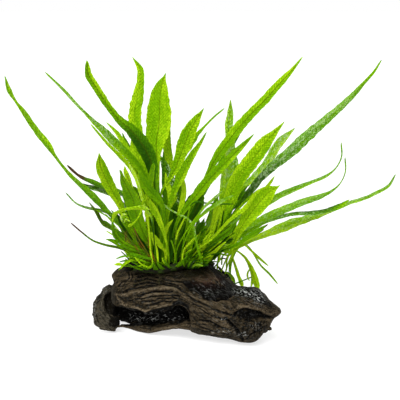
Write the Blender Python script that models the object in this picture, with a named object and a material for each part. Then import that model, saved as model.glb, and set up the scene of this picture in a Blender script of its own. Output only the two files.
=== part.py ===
"""A java fern growing on a piece of driftwood, about 33 cm wide and 24 cm tall.

The frame: X runs to the viewer's right, Y away from the viewer, Z up. The floor
is z = 0, and the origin lies on it under the middle of the plant.
"""

from math import cos, pi, radians, sin

import bmesh
import bpy
import numpy as np
from mathutils import Vector
from mathutils.bvhtree import BVHTree

# Driving dimensions, in metres
DRIFTWOOD_LENGTH = 0.160
LEAF_THICKNESS = 0.0010
TOUCH_GAP = 0.0003
STALK_GAP = 0.0009
LEAF_RING_SPACING = 0.0115

# How the photo sees it: the driftwood spans 188 pixels of the picture's 400, and the
# camera looks a little down on it from about a metre away.
DRIFTWOOD_PIXELS = 188
PHOTO_CENTRE = 200
PIXEL = DRIFTWOOD_LENGTH / DRIFTWOOD_PIXELS
CAMERA_DISTANCE = 1.10
CAMERA_TILT = radians(10)
AIM_HEIGHT = 0.1178

# Where the driftwood's long axis runs: its right end comes nearer the viewer.
AXIS_COLUMN = 195
AXIS_SLOPE = -0.42

# The rows where leaves start and where the tallest one ends, how far the nearest and
# the farthest leaves lean out of the middle plane at that height, and the layer of
# those that don't lean.
BASE_ROW = 262
TOP_ROW = 58
NEAR_LEAN = -0.240
FAR_LEAN = 0.084
UPRIGHT_LAYER = 0.55


def seen_point(column, row, depth):
    """The point at y = depth that the camera sees at that column and row."""
    focal = CAMERA_DISTANCE / PIXEL
    back = Vector((0, -cos(CAMERA_TILT), sin(CAMERA_TILT)))
    up = Vector((0, sin(CAMERA_TILT), cos(CAMERA_TILT)))
    camera = Vector((0, 0, AIM_HEIGHT)) + CAMERA_DISTANCE * back
    ray = Vector((column - PHOTO_CENTRE, 0, 0)) + up * (PHOTO_CENTRE - row) - back * focal
    return camera + ray * ((depth - camera.y) / ray.y)


def seen_place(point):
    """The column and row at which the camera sees a point."""
    focal = CAMERA_DISTANCE / PIXEL
    back = Vector((0, -cos(CAMERA_TILT), sin(CAMERA_TILT)))
    up = Vector((0, sin(CAMERA_TILT), cos(CAMERA_TILT)))
    offset = Vector(point) - Vector((0, 0, AIM_HEIGHT)) - CAMERA_DISTANCE * back
    away = -offset.dot(back)
    return PHOTO_CENTRE + focal * offset.x / away, PHOTO_CENTRE - focal * offset.dot(up) / away


def smooth(stations, values, at):
    """Cubic curve through values given at rising stations, read at other stations."""
    stations = np.asarray(stations, float)
    values = np.asarray(values, float)
    slopes = np.gradient(values, stations, axis=0)
    i = np.clip(np.searchsorted(stations, at, side="right") - 1, 0, len(stations) - 2)
    span = stations[i + 1] - stations[i]
    t = (at - stations[i]) / span
    if values.ndim > 1:
        span = span[:, None]
        t = t[:, None]
    return (
        (2 * t**3 - 3 * t**2 + 1) * values[i]
        + (t**3 - 2 * t**2 + t) * span * slopes[i]
        + (3 * t**2 - 2 * t**3) * values[i + 1]
        + (t**3 - t**2) * span * slopes[i + 1]
    )


def distances_along(points):
    """Distance from the first point to each point of a path."""
    steps = np.linalg.norm(np.diff(points, axis=0), axis=1)
    return np.concatenate([[0], np.cumsum(steps)])


def material(name, colour, roughness):
    made = bpy.data.materials.new(name)
    made.use_nodes = True
    surface = made.node_tree.nodes["Principled BSDF"]
    surface.inputs["Base Color"].default_value = (*colour, 1)
    surface.inputs["Roughness"].default_value = roughness
    surface.inputs["Metallic"].default_value = 0
    return made


def collection(name):
    made = bpy.data.collections.new(name)
    bpy.context.scene.collection.children.link(made)
    return made


def loft(name, rings, finish, group):
    """A closed body through rings of equally many points, with flat ends."""
    mesh = bpy.data.meshes.new(name)
    body = bmesh.new()
    rows = [[body.verts.new(point) for point in ring] for ring in rings]
    for near, far in zip(rows, rows[1:]):
        for i in range(len(near)):
            j = (i + 1) % len(near)
            body.faces.new((near[i], near[j], far[j], far[i]))
    body.faces.new(rows[0][::-1])
    body.faces.new(rows[-1])
    bmesh.ops.recalc_face_normals(body, faces=body.faces)
    body.to_mesh(mesh)
    body.free()
    mesh.materials.append(finish)
    made = bpy.data.objects.new(name, mesh)
    group.objects.link(made)
    return made


def cut(piece, cutter):
    """Take the cutter's shape out of a piece, and hide the cutter."""
    cutter.hide_render = True
    cutter.display_type = "WIRE"
    taken = piece.modifiers.new("cut_" + cutter.name, "BOOLEAN")
    taken.operation = "DIFFERENCE"
    taken.object = cutter


# Driftwood

# The trunk's outline in the photo, from its left end to its tip: the column, the rows
# of its top and bottom edges, and half its depth in millimetres.
TRUNK_SECTIONS = [
    (112.8, 275, 300, 13),
    (114.5, 271.5, 311, 19),
    (118, 269, 320.5, 23),
    (124, 267, 323.5, 26),
    (131, 265.5, 324.5, 28),
    (136, 265, 328, 29),
    (142, 265, 330.5, 30),
    (150, 265.5, 331.5, 31),
    (158, 266, 331, 32),
    (168, 265.5, 329.5, 33),
    (178, 265, 329, 34),
    (188, 265, 330.5, 34),
    (196, 264, 333.5, 34),
    (203, 262.5, 335, 34),
    (209, 264.5, 336, 34),
    (215, 269.5, 336.8, 34),
    (221, 275, 337.7, 33),
    (227, 278.5, 338.6, 33),
    (233, 284, 340, 32),
    (239, 286, 342, 31),
    (246, 286.5, 342.6, 29),
    (253, 287.5, 341.8, 26),
    (259, 289.5, 338.4, 23),
    (264, 293.5, 332.5, 19),
    (269, 299.5, 327, 15),
    (273, 302.5, 317.5, 11),
    (277, 305, 315, 8),
    (280.8, 309, 312, 4),
]

# Lumps that stand out of the trunk's near side, and hollows in it (height below
# zero): column, row, half width and half height in pixels, height in millimetres.
TRUNK_FEATURES = [
    (212, 290, 21, 7, -7.0),
    (229, 292, 8, 5, -3.5),
    (253, 315, 13, 4.5, -4.5),
    (232, 330, 5, 9, -2.5),
    (167, 284, 24, 2.5, -1.6),
    (160, 300, 34, 5, 3.2),
    (133, 300, 12, 8, 2.2),
    (205, 309, 20, 6, 3.4),
    (236, 304, 14, 6, 2.6),
    (248, 333, 9, 7, 2.4),
    (222, 334, 14, 4, 1.6),
    (127, 280, 9, 8, 1.8),
    (152, 275, 24, 4, 1.4),
    (190, 272, 26, 5, -1.8),
    (186, 326, 16, 4, 1.5),
]

# The cave under the trunk's left half: column, row of its roof, and how far behind
# the trunk's axis its back wall stands, in millimetres.
CAVE_SECTIONS = [
    (106, 306, 6),
    (112, 306, 6),
    (118, 307, 6),
    (125, 307.5, 5),
    (132, 310, 3.5),
    (139, 309, 3),
    (146, 313, 3),
    (152, 313, 5),
    (160, 309.5, 4),
    (171, 308, 4),
    (175, 303, 4),
    (180, 302, 4),
    (186, 305.5, 6),
    (191, 312.5, 10),
]

# The grey lobe at the left end and the limb under the cave: column, row, seen width
# in pixels, depth of its middle and half its depth in millimetres.
LOBE_PATH = [
    (112.5, 285.8, 8, 38, 7),
    (109.8, 290, 14.5, 37, 9.5),
    (107, 297, 21, 35, 12),
    (105.2, 305, 25, 33, 13.5),
    (104.9, 312, 25.6, 32, 14),
    (105.2, 318, 25.3, 31, 14.5),
    (106, 324, 23.8, 30, 14.5),
    (107, 330.8, 18.5, 30, 13),
]
LIMB_PATH = [
    (119.6, 326.1, 3.6, 25, 5),
    (126, 325.9, 3.6, 21, 5),
    (130.5, 326.3, 5.5, 18, 6),
    (134.5, 326.4, 9.5, 14, 8),
    (141, 326.6, 11, 9, 9),
    (150, 329, 8.6, 2, 9),
    (160, 329, 6.8, -3, 8.5),
    (170, 327.2, 7, -8, 8.5),
    (179, 325.8, 8.4, -12, 8.5),
    (185.5, 325.3, 10.5, -15, 9),
    (190.4, 325.4, 11.5, -17, 10),
]

# The hollows in the lobe's near side: column, row, half width and half height in
# pixels, depth in millimetres.
LOBE_HOLLOWS = [
    (109.5, 302, 3.6, 8, 9),
    (113.8, 323.5, 4.6, 4.6, 9),
]


def axis_depth(column):
    return AXIS_SLOPE * (column - AXIS_COLUMN) * PIXEL


def seen_size(top_row, bottom_row, depth, half_depth):
    """Middle height and half height of an oval section seen between two rows."""
    top = seen_point(PHOTO_CENTRE, top_row, depth).z
    bottom = seen_point(PHOTO_CENTRE, bottom_row, depth).z
    seen_half = (top - bottom) / 2 * cos(CAMERA_TILT)
    hidden = half_depth * sin(CAMERA_TILT)
    return (top + bottom) / 2, max(seen_half**2 - hidden**2, 1e-7) ** 0.5 / cos(CAMERA_TILT)


def oval(angle, squareness):
    """Point of a squarish oval at an angle; the squareness of an ellipse is 2."""
    across = np.sign(cos(angle)) * abs(cos(angle)) ** (2 / squareness)
    upward = np.sign(sin(angle)) * abs(sin(angle)) ** (2 / squareness)
    return across, upward


def trunk_ring(column, top_row, bottom_row, half_depth, points=30):
    """One slice across the trunk, with its lumps, hollows and flat underside."""
    depth = axis_depth(column)
    middle, half = seen_size(top_row, bottom_row, depth, half_depth)
    x = seen_point(column, top_row, depth).x
    ring = []
    for i in range(points):
        angle = 2 * pi * i / points
        across, upward = oval(angle, 2.5)
        lump = 1 + 0.035 * sin(3 * angle + 95 * x) + 0.03 * sin(5 * angle - 140 * x)
        lump = lump if across > 0 else 1
        y = depth + half_depth * across * lump
        z = middle + half * upward
        # The underside falls away from the viewer as the line of sight does.
        hidden_drop = 0.16 * max(0, y - depth + 0.3 * half_depth) * max(0, -upward)
        z = z - hidden_drop
        if across < 0.2:
            seen_column, seen_row = seen_place((x, y, z))
            for spot in TRUNK_FEATURES:
                far = ((seen_column - spot[0]) / spot[2]) ** 2
                far += ((seen_row - spot[1]) / spot[3]) ** 2
                y -= spot[4] / 1000 * np.exp(-far) * min(1, (0.2 - across) * 1.6)
        ring.append((x, y, max(z, 0)))
    return ring


def build_trunk(finish, group, cutters):
    table = np.array(TRUNK_SECTIONS, float)
    columns = np.concatenate([
        table[:3, 0],
        np.arange(120, 266, 5.2),
        table[-4:, 0],
    ])
    rows = smooth(table[:, 0], table[:, 1:], columns)
    rings = [
        trunk_ring(column, top, bottom, depth / 1000)
        for column, (top, bottom, depth) in zip(columns, rows)
    ]
    trunk = loft("driftwood_trunk", rings, finish, group)
    cut(trunk, build_cave_cutter(finish, cutters))
    cut(trunk, loft("lobe_seat", lobe_rings(grown=2 * TOUCH_GAP), finish, cutters))
    return trunk


def build_cave_cutter(finish, cutters):
    """The cave, and the room under it where the lower limb lies."""
    rings = []
    for column, roof_row, back in CAVE_SECTIONS:
        rear = axis_depth(column) + back / 1000
        front = rear - 0.080
        roof = seen_point(column, roof_row, axis_depth(column) - 0.026)
        floor = -0.010
        middle = (roof.z + floor) / 2
        half = (roof.z - floor) / 2
        ring = []
        for i in range(16):
            across, upward = oval(2 * pi * (i + 0.5) / 16, 5)
            y = (rear + front) / 2 + (rear - front) / 2 * across
            ring.append((roof.x, y, middle + half * upward))
        rings.append(ring)
    return loft("cave", rings, finish, cutters)


def limb_rings(path, spacing, points, squareness=2.2, waves=0.05, grown=0.0):
    """Rings around a limb that is given by what the photo shows of it."""
    path = np.array(path, float)
    middles = np.array([seen_point(c, r, d / 1000) for c, r, w, d, h in path])
    along = distances_along(middles)
    stations = np.linspace(0, along[-1], max(4, round(along[-1] / spacing) + 1))
    centres = smooth(along, middles, stations)
    half_widths = smooth(along, path[:, 2] * PIXEL / 2, stations)
    half_depths = smooth(along, path[:, 4] / 1000, stations)
    run = np.gradient(centres, stations, axis=0)
    centres[0] -= run[0] * grown
    centres[-1] += run[-1] * grown
    rings = []
    for centre, direction, wide, deep, station in zip(
        centres, run, half_widths, half_depths, stations
    ):
        sideways = Vector((direction[2], 0, -direction[0])).normalized()
        ring = []
        for i in range(points):
            angle = 2 * pi * i / points
            across, outward = oval(angle, squareness)
            lump = 1 + waves * sin(4 * angle + 230 * station)
            point = Vector(centre) + sideways * ((wide * lump + grown) * across)
            point.y -= (deep * lump + grown) * outward
            point.z = max(point.z, -grown)
            ring.append(point)
        rings.append(ring)
    return rings


def lobe_rings(grown=0.0):
    """The lobe bends down from behind the trunk's left end to a foot of its own."""
    rings = limb_rings(LOBE_PATH, 0.0042, 18, grown=grown)
    for ring in rings:
        middle = sum(point.y for point in ring) / len(ring)
        for point in ring:
            column, row = seen_place(point)
            if point.y < middle:
                for hollow in LOBE_HOLLOWS:
                    far = ((column - hollow[0]) / hollow[2]) ** 2
                    far += ((row - hollow[1]) / hollow[3]) ** 2
                    point.y += hollow[4] / 1000 * np.exp(-far)
    return rings


def build_lobe(finish, group):
    return loft("driftwood_left_lobe", lobe_rings(), finish, group)


def build_limb(finish, group):
    rings = limb_rings(LIMB_PATH, 0.0052, 12, waves=0.06)
    return loft("driftwood_lower_limb", rings, finish, group)


# Rhizomes

# The creeping stems that the leaves grow from: the columns that each runs between, its
# depth behind the middle plane at both ends and its radius, in millimetres.
RHIZOME_RUNS = {
    "rhizome_front": (133, 214, -3, -13, 3.4),
    "rhizome_back": (137, 212, 16, 6, 3.4),
    "rhizome_right": (217, 231, 7, 15, 2.4),
}


def wood_height(wood, x, y):
    """Height of the driftwood's top surface over a place on the floor."""
    hit = wood.ray_cast(Vector((x, y, 0.2)), Vector((0, 0, -1)))[0]
    return hit.z if hit else 0


def rhizome_path(wood, name, points=15):
    """Points along a rhizome that lies on the wood, just clear of it everywhere."""
    start, end, start_depth, end_depth, radius = RHIZOME_RUNS[name]
    radius = radius / 1000
    places = []
    for i in range(points):
        along = i / (points - 1)
        depth = (start_depth + along * (end_depth - start_depth)) / 1000
        depth += 0.0022 * sin(9 * along + start)
        column = start + along * (end - start)
        x = (column - PHOTO_CENTRE) * PIXEL * (1 + depth / CAMERA_DISTANCE)
        around = [
            wood_height(wood, x + dx, depth + dy)
            for dx in (-0.0025, 0, 0.0025)
            for dy in (-radius, 0, radius)
        ]
        places.append(Vector((x, depth, max(around) + radius + TOUCH_GAP)))
    heights = [place.z for place in places]
    for i in range(1, points - 1):
        places[i].z = max(heights[i], (heights[i - 1] + heights[i + 1]) / 2)
    return places


def rhizome_tube(name, places, finish, group):
    """A knobbly tube along its places, thinner at both ends."""
    rings = []
    for i, place in enumerate(places):
        run = (places[min(i + 1, len(places) - 1)] - places[max(i - 1, 0)]).normalized()
        side = run.cross(Vector((0, 0, 1))).normalized()
        over = side.cross(run)
        end = min(i, len(places) - 1 - i) == 0
        radius = RHIZOME_RUNS[name][4] / 1000
        radius *= 0.6 if end else 0.93 + 0.07 * sin(2.4 * i)
        rings.append([
            place + radius * (cos(a) * side + sin(a) * over)
            for a in (2 * pi * k / 7 for k in range(7))
        ])
    return loft(name, rings, finish, group)


# Leaves

# Every leaf is read off the photo along its midline, from its stalk to its tip: the
# column, the row and the seen width, in pixels. "layer" orders the leaves from the
# viewer (0) to the back (1). "turn" is how far a blade is turned away from the viewer,
# in degrees, so it is wider than it looks, and "root" is the column where its stalk
# meets the rhizome. "reach" is how far behind its root a hanging leaf falls, in
# millimetres.
LEAVES = {
    # Left side, the long outer leaves
    "leaf_far_left": dict(layer=0.50, turn=35, root=139, seen=[
        (126, 234, 2.4), (112, 216, 3), (100, 203, 6.5), (88, 191, 5), (80, 184, 3.5),
        (66, 170, 3), (60, 162, 2), (55.5, 156, 3), (52, 150, 6), (47, 143, 8.5),
        (42, 137, 8), (36, 130, 7), (25, 113, 6), (18, 106, 4), (16, 101, 2.5),
        (12.5, 95, 4.5), (9, 89, 4), (5.5, 77, 0.8)]),
    "leaf_left_arching": dict(layer=0.60, turn=25, root=147, seen=[
        (153, 215, 2.2), (145, 177, 5), (136, 164, 8), (128, 155, 9), (120, 147, 9),
        (112, 139.5, 9), (105, 132, 8), (97, 125, 6), (90, 117.5, 4), (80, 108, 3),
        (70, 97, 3.5), (60, 86, 3), (52, 79, 1.8), (46, 73, 0.8)]),
    "leaf_left_thin": dict(layer=0.55, turn=55, root=144, seen=[
        (149, 220, 2), (145, 200, 3), (141, 192, 3), (138, 182, 4), (130, 167, 4),
        (124, 160, 4), (112, 148, 3), (105, 141, 2.6), (100, 135, 2.2), (95, 130, 2.5),
        (91.5, 125, 0.8)]),
    "leaf_left_short_back": dict(layer=0.78, turn=20, root=141, seen=[
        (146, 215, 2), (138, 178, 4), (132, 160, 6), (127, 148, 6), (123, 143, 6),
        (119, 137, 6), (115, 131, 4), (111, 127, 1.8), (107, 123.5, 0.8)]),
    "leaf_left_dark_broad": dict(layer=0.46, turn=15, root=153, seen=[
        (154, 215, 3), (154, 190, 6), (154, 180, 7), (153, 170, 9), (151, 162, 11),
        (148, 154, 12), (143, 146, 12), (138, 138, 11), (131, 130, 10), (124, 124, 9),
        (118, 119, 8), (109, 107, 6.5), (104, 100, 7), (99, 92, 6.5), (94, 84, 6.5),
        (89, 76, 5), (86.5, 68, 4), (87, 62, 0.8)]),
    "leaf_left_bright": dict(layer=0.27, turn=20, root=136, seen=[
        (135, 235, 2), (124, 214, 6), (121, 206, 8), (118, 200, 9), (114, 193, 10.5),
        (110, 186, 11), (106, 178, 11), (103, 171, 10), (100.5, 164, 8), (99, 158, 4),
        (99.5, 154, 0.8)]),
    "leaf_left_dark_low": dict(layer=0.22, turn=-12, root=149, seen=[
        (152, 250, 4), (148, 242, 7), (143, 233, 10), (139, 224, 12), (136, 215, 13),
        (134, 207, 14), (132.5, 200, 14), (130, 194, 12.5), (127, 188, 9), (124, 182, 6),
        (121.5, 176, 2.5), (121, 171, 0.8)]),
    "leaf_left_yellow": dict(layer=0.36, turn=-35, root=143, seen=[
        (141, 215, 1.8), (134, 195, 3), (130, 183, 4), (128, 178, 4), (126, 173, 3),
        (124.5, 168.5, 0.8)]),
    "leaf_left_strip_upper": dict(layer=0.68, turn=60, root=142, seen=[
        (140, 218, 1.8), (130, 200, 2.6), (122, 193, 4), (115, 190, 4), (103, 186, 3.4),
        (90, 181, 3), (83, 178, 2.2), (78, 175, 1.6), (73, 171, 2), (68, 166, 0.8)]),
    "leaf_left_strip_pale": dict(layer=0.73, turn=50, root=138, seen=[
        (135, 222, 1.8), (122, 203, 2.6), (113, 195, 4), (106, 192, 4.5), (100, 189, 5),
        (92, 187.5, 4), (85, 186, 2.5), (79, 183, 0.8)]),
    "leaf_left_thread": dict(layer=0.63, turn=55, root=140, seen=[
        (138, 240, 1.6), (122, 222, 2), (108, 213, 2), (100, 210, 2.5), (93, 209, 2.5),
        (86, 207.5, 2), (79, 205, 1.4), (72, 200, 1.2), (66.5, 193.5, 0.7)]),
    "leaf_left_olive": dict(layer=0.40, turn=40, root=137, seen=[
        (134, 243, 1.8), (124, 235, 2.4), (117, 231, 3), (110, 228, 3), (104, 224, 3.5),
        (100, 219, 3.5), (97, 213, 3), (94, 208, 2), (90, 203.5, 0.8)]),
    "leaf_left_brown_thread": dict(layer=0.44, turn=50, root=134, seen=[
        (132, 254, 2.4), (124, 249.5, 2.5), (116, 247, 2), (108, 245.5, 2),
        (100, 243.5, 1.6), (92, 240, 1.3), (84, 233.5, 1.1), (76, 229, 1), (71.5, 223.5, 0.7)]),
    "leaf_left_low_curl": dict(layer=0.14, turn=-25, root=145, seen=[
        (141, 255, 4), (134, 251, 6), (127, 246, 7), (120, 241, 6), (115, 236, 5),
        (113, 230, 3), (112.5, 224, 1.5), (113, 219, 0.8)]),
    "leaf_left_loop": dict(layer=0.05, turn=-30, root=157, seen=[
        (155, 245, 1.8), (154, 232, 2), (151, 216, 2.6), (147, 210, 3), (141, 208, 3.6),
        (133, 208.2, 3), (125, 209.5, 3.4), (118, 212, 4), (114.5, 216.5, 2.4),
        (113, 221, 0.8)]),
    # Middle, the tall upright leaves
    "leaf_middle_wavy": dict(layer=0.70, turn=15, root=151, seen=[
        (152, 215, 3), (148, 190, 6), (145, 175, 9), (141, 165, 10), (138, 155, 12),
        (137, 145, 13), (137, 136, 12.5), (135.5, 128, 12), (134.5, 120, 12.5),
        (135, 112, 11), (136, 104, 11), (138, 96, 9.5), (140, 90, 8), (140, 84, 6.5),
        (141, 78, 7.5), (141, 73, 6), (139, 67, 4.5), (136, 62, 3), (133, 58, 0.8)]),
    "leaf_middle_broad": dict(layer=0.62, turn=-12, root=158, seen=[
        (158, 215, 3), (157, 190, 4), (157, 170, 5), (156, 160, 7), (156, 152, 10),
        (155.5, 145, 15), (156, 138, 20), (157.5, 130, 22), (158, 122, 22.5),
        (158.5, 115, 22.5), (159, 106, 20.5), (159, 98, 17), (160, 90, 13),
        (162, 83, 9.5), (164, 78, 5), (165, 74, 0.8)]),
    "leaf_middle_bright": dict(layer=0.80, turn=-20, root=165, seen=[
        (168, 215, 3), (167, 190, 6), (168, 180, 7), (169, 165, 9), (168, 155, 10),
        (167, 145, 8), (167, 135, 8), (167.5, 122, 5), (168, 112, 0.8)]),
    "leaf_middle_leaning": dict(layer=0.42, turn=-18, root=162, seen=[
        (160, 215, 2.2), (161, 190, 2.6), (165, 183, 3.2), (172, 174, 6), (175, 166, 9),
        (178, 158, 11), (181, 150, 14), (184, 142, 16), (187, 134, 15), (190, 128, 12),
        (193, 123, 10), (196, 118, 7), (199, 113, 4), (202, 109, 0.8)]),
    "leaf_middle_thin": dict(layer=0.84, turn=-50, root=169, seen=[
        (173, 205, 3), (178, 175, 6), (183, 156, 6), (187, 149, 7), (192, 142, 7),
        (196, 136, 5), (200, 131, 3), (205, 126, 2.2), (211, 120, 1.8), (218, 113, 1.5),
        (223.5, 109, 0.8)]),
    "leaf_middle_narrow": dict(layer=0.37, turn=-30, root=167, seen=[
        (166, 220, 3), (168, 206, 5), (171, 198, 6), (174, 190, 8), (177, 182, 9),
        (181, 175, 10.5), (184, 168, 10), (188, 161, 9), (192, 154, 8), (196, 148, 6),
        (200, 142, 4), (203, 137, 2.5), (205, 133, 0.8)]),
    "leaf_centre_short": dict(layer=0.18, turn=25, root=164, seen=[
        (164, 225, 2.2), (161, 203, 5), (156, 197, 7), (150, 191, 8), (145, 185, 7),
        (141, 178, 5), (139.5, 172.5, 0.8)]),
    "leaf_centre_narrow": dict(layer=0.31, turn=-40, root=155, seen=[
        (153, 225, 1.8), (150, 200, 3), (150, 186, 4), (152, 178, 4), (153, 170, 3.5),
        (153.5, 164.5, 0.8)]),
    "leaf_centre_thread": dict(layer=0.26, turn=-50, root=161, seen=[
        (161, 225, 1.8), (160, 200, 2.6), (158, 190, 3), (157, 180, 3), (156.5, 174, 0.8)]),
    "leaf_centre_bright": dict(layer=0.11, turn=15, root=169, seen=[
        (166, 240, 2.2), (160, 222, 5), (156, 213, 6), (152, 206, 6), (150, 200, 0.8)]),
    # Right side, the long outer leaves
    "leaf_right_upright": dict(layer=0.74, turn=20, root=212, seen=[
        (219, 240, 3), (222, 215, 9), (224, 205, 12), (226, 195, 14), (227, 180, 13),
        (229, 160, 11), (231, 145, 9), (229, 131, 8), (229, 124, 7), (230, 116, 5),
        (230.5, 108, 4), (230.5, 101, 0.8)]),
    "leaf_right_upright_back": dict(layer=0.83, turn=-20, root=206, seen=[
        (210, 245, 4), (212, 230, 11), (214, 215, 12), (217, 205, 7), (218, 200, 0.8)]),
    "leaf_right_long_inner": dict(layer=0.58, turn=-30, root=174, seen=[
        (186, 222, 3), (195, 200, 4), (207, 176, 4.5), (210, 170, 6), (214, 162, 8),
        (219, 154, 10), (224, 147, 11), (230, 139, 11), (236, 131, 12), (243, 123, 11.5),
        (250, 115, 11), (258, 107, 10.5), (265, 100, 10.5), (272, 92, 10), (279, 84, 9),
        (285, 78, 8), (290, 73, 7), (294, 68, 4), (298, 63, 1.8), (302, 58, 0.8)]),
    "leaf_right_middle": dict(layer=0.33, turn=-25, root=172, seen=[
        (177, 222, 4), (187, 206, 8), (193, 199, 10), (199, 191, 12), (205, 184, 12),
        (212, 176, 11.5), (219, 169, 11), (226, 162, 10), (233, 155, 8.5), (240, 148, 6.5),
        (245, 143, 5), (250, 138, 3), (253, 135, 0.8)]),
    "leaf_right_broad": dict(layer=0.45, turn=-15, root=207, seen=[
        (217, 235, 3), (224, 212, 7), (228, 200, 10), (232, 190, 14), (237, 180, 17),
        (244, 170, 18), (251, 161, 19), (258, 152, 19), (264, 144, 18), (270, 137, 14),
        (276, 131, 7), (280, 126, 2.5), (283.5, 122.5, 0.8)]),
    "leaf_right_pale": dict(layer=0.79, turn=-40, root=199, seen=[
        (218, 225, 3), (243, 187, 5), (258, 172, 6), (270, 157, 7), (274, 149, 7),
        (279, 142, 6.5), (284, 137, 5), (289, 132, 4), (293, 129, 0.8)]),
    "leaf_far_right": dict(layer=0.66, turn=-35, root=203, seen=[
        (222, 229, 3), (243, 200, 6), (249, 192, 8), (256, 183, 9), (263, 176, 10),
        (271, 168, 11), (279, 161, 12), (287, 155, 12), (295, 148, 12), (303, 140, 12),
        (311, 133, 11), (319, 126, 10), (327, 119, 9), (335, 112, 8), (343, 105, 7),
        (350, 98, 6.5), (357, 91, 5), (363, 84, 4), (369, 78, 2), (374, 72, 2.4),
        (378, 66, 2), (381, 61, 0.8)]),
    "leaf_right_curled": dict(layer=0.54, turn=-50, root=196, seen=[
        (215, 235, 2.4), (240, 216, 4), (258, 208, 5), (268, 202, 5), (275, 197, 5.5),
        (283, 193, 5), (292, 189, 5), (302, 185, 4), (312, 181, 3), (322, 177, 3),
        (329, 173.5, 2), (333, 170, 1.2), (338, 164, 1), (341, 157, 1), (341.5, 150, 1),
        (341, 143, 0.8)]),
    "leaf_right_curled_low": dict(layer=0.49, turn=-45, root=201, seen=[
        (222, 243, 3), (242, 235, 6), (250, 229, 8), (258, 222, 9), (267, 217, 9),
        (277, 212, 8), (287, 208, 7), (297, 203.5, 6.5), (307, 200, 6), (317, 197, 5),
        (326, 193.5, 3.5), (334, 189, 1.6), (340, 183, 1), (344, 176, 1),
        (345.7, 167, 0.9), (345, 158, 0.8)]),
    "leaf_far_right_low": dict(layer=0.38, turn=-45, root=210, seen=[
        (225, 253, 2.8), (235, 249, 3), (245, 244, 3.5), (255, 239, 4.5), (265, 235, 6),
        (275, 231, 8), (285, 227, 9.5), (295, 223, 9), (305, 220, 7), (315, 217, 6),
        (325, 213, 5), (335, 209, 4.5), (345, 205, 4), (354, 202, 3), (364, 199, 3),
        (374, 194.5, 3), (383, 190, 2.5), (389, 186, 2.5), (393, 181, 2.2), (395, 176, 0.8)]),
    "leaf_right_dark_strip": dict(layer=0.29, turn=-65, root=193, seen=[
        (222, 245, 2.2), (250, 228, 3), (270, 219, 3), (284, 214, 2.4), (293, 212, 1.8),
        (303, 211.5, 2), (315, 211, 2.5), (325, 209, 2.5), (335, 206, 3), (342, 202, 3),
        (348, 198.5, 0.8)]),
    "leaf_right_short_broad": dict(layer=0.24, turn=-12, root=216, seen=[
        (227, 258, 1.6), (231, 249, 3), (234, 242, 4), (238, 234, 6), (242, 226, 9),
        (247, 218, 13), (253, 210, 16), (259, 203, 17), (265, 196, 16), (270, 191, 12),
        (275, 187.5, 3), (279, 186, 0.8)]),
    "leaf_right_short_narrow": dict(layer=0.20, turn=-35, root=190, seen=[
        (210, 240, 2), (232, 218, 3), (246, 207, 4), (250, 203, 4), (252, 198, 3),
        (255, 194, 2.5), (257.5, 190.5, 0.8)]),
    "leaf_right_dark_behind": dict(layer=0.70, turn=-20, root=182, seen=[
        (182, 240, 4), (185, 225, 11), (190, 213, 16), (194, 205, 17), (198, 197, 12),
        (201, 190, 0.8)]),
    "leaf_right_parallel_upper": dict(layer=0.15, turn=-50, root=176, seen=[
        (186, 232, 2.4), (195, 219, 3.4), (203, 209, 4), (208, 203, 4), (215, 198, 3.4),
        (221, 192, 0.8)]),
    "leaf_right_parallel_lower": dict(layer=0.07, turn=-45, root=181, seen=[
        (188, 234, 2.4), (195, 222, 4), (203, 214, 4), (212, 207, 4), (222, 201, 3.4),
        (232, 196, 0.8)]),
    "leaf_right_dark_low": dict(layer=0.10, turn=-15, root=186, seen=[
        (195, 256, 5), (205, 249, 8), (215, 241, 10), (228, 232, 10), (233, 226, 5),
        (236, 222, 0.8)]),
    "leaf_right_brown_tip": dict(layer=0.06, turn=-50, root=207, seen=[
        (220, 252, 2.2), (232, 247, 2.6), (240, 243, 3), (248, 237, 3.2), (258, 231, 3.5),
        (263, 228, 2.4), (267, 225, 0.8)]),
    # Right side, the leaves that hang over the wood's right end
    "leaf_hanging_long": dict(layer=0.45, turn=20, root=227, reach=2, seen=[
        (233, 250, 1.8), (240, 253, 2), (246, 257, 3), (250, 263, 4), (253, 270, 5),
        (256, 278, 6), (258, 284, 6), (259, 289, 3)]),
    "leaf_hanging_short": dict(layer=0.64, turn=-20, root=222, reach=8, seen=[
        (231, 252, 1.6), (233, 257, 2), (236, 264, 3), (238, 272, 3.5), (241, 280, 4),
        (243.5, 286, 3)]),
    "leaf_hanging_spray": dict(layer=0.88, turn=-40, root=230, reach=20, seen=[
        (238, 247, 1.6), (245, 246, 1.6), (250, 251, 1.8), (255, 256, 2), (259, 259, 2.6),
        (263, 262, 3), (267, 266, 0.8)]),
    "leaf_hanging_thread": dict(layer=0.98, turn=-45, root=231, reach=26, seen=[
        (241, 245, 1.6), (247, 246, 1.6), (252, 251, 1.6), (257, 259.5, 1.6),
        (262, 267, 1.8), (267, 272, 2), (272, 276, 1.8), (275, 280, 1.6), (277, 283, 0.8)]),
    # Leaves at the back, which the photo shows only as dark green between the others
    "leaf_back_left": dict(layer=0.90, turn=55, root=148, seen=[
        (146, 215, 3), (138, 190, 5), (130, 170, 6.5), (124, 152, 6), (120, 142, 4),
        (117, 134, 0.8)]),
    "leaf_back_middle": dict(layer=0.96, turn=-55, root=160, seen=[
        (160, 215, 3), (162, 190, 5), (161, 165, 6.5), (159, 140, 6), (158, 122, 4),
        (158, 108, 0.8)]),
    "leaf_back_right": dict(layer=0.93, turn=-50, root=186, seen=[
        (192, 225, 3), (207, 195, 5), (220, 172, 6.5), (233, 152, 6), (243, 136, 4),
        (250, 124, 0.8)]),
    "leaf_back_low_left": dict(layer=0.98, turn=40, root=152, seen=[
        (148, 225, 3), (140, 210, 5), (132, 198, 6), (124, 188, 5), (116, 182, 0.8)]),
    "leaf_back_low_right": dict(layer=1.00, turn=-45, root=201, seen=[
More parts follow.
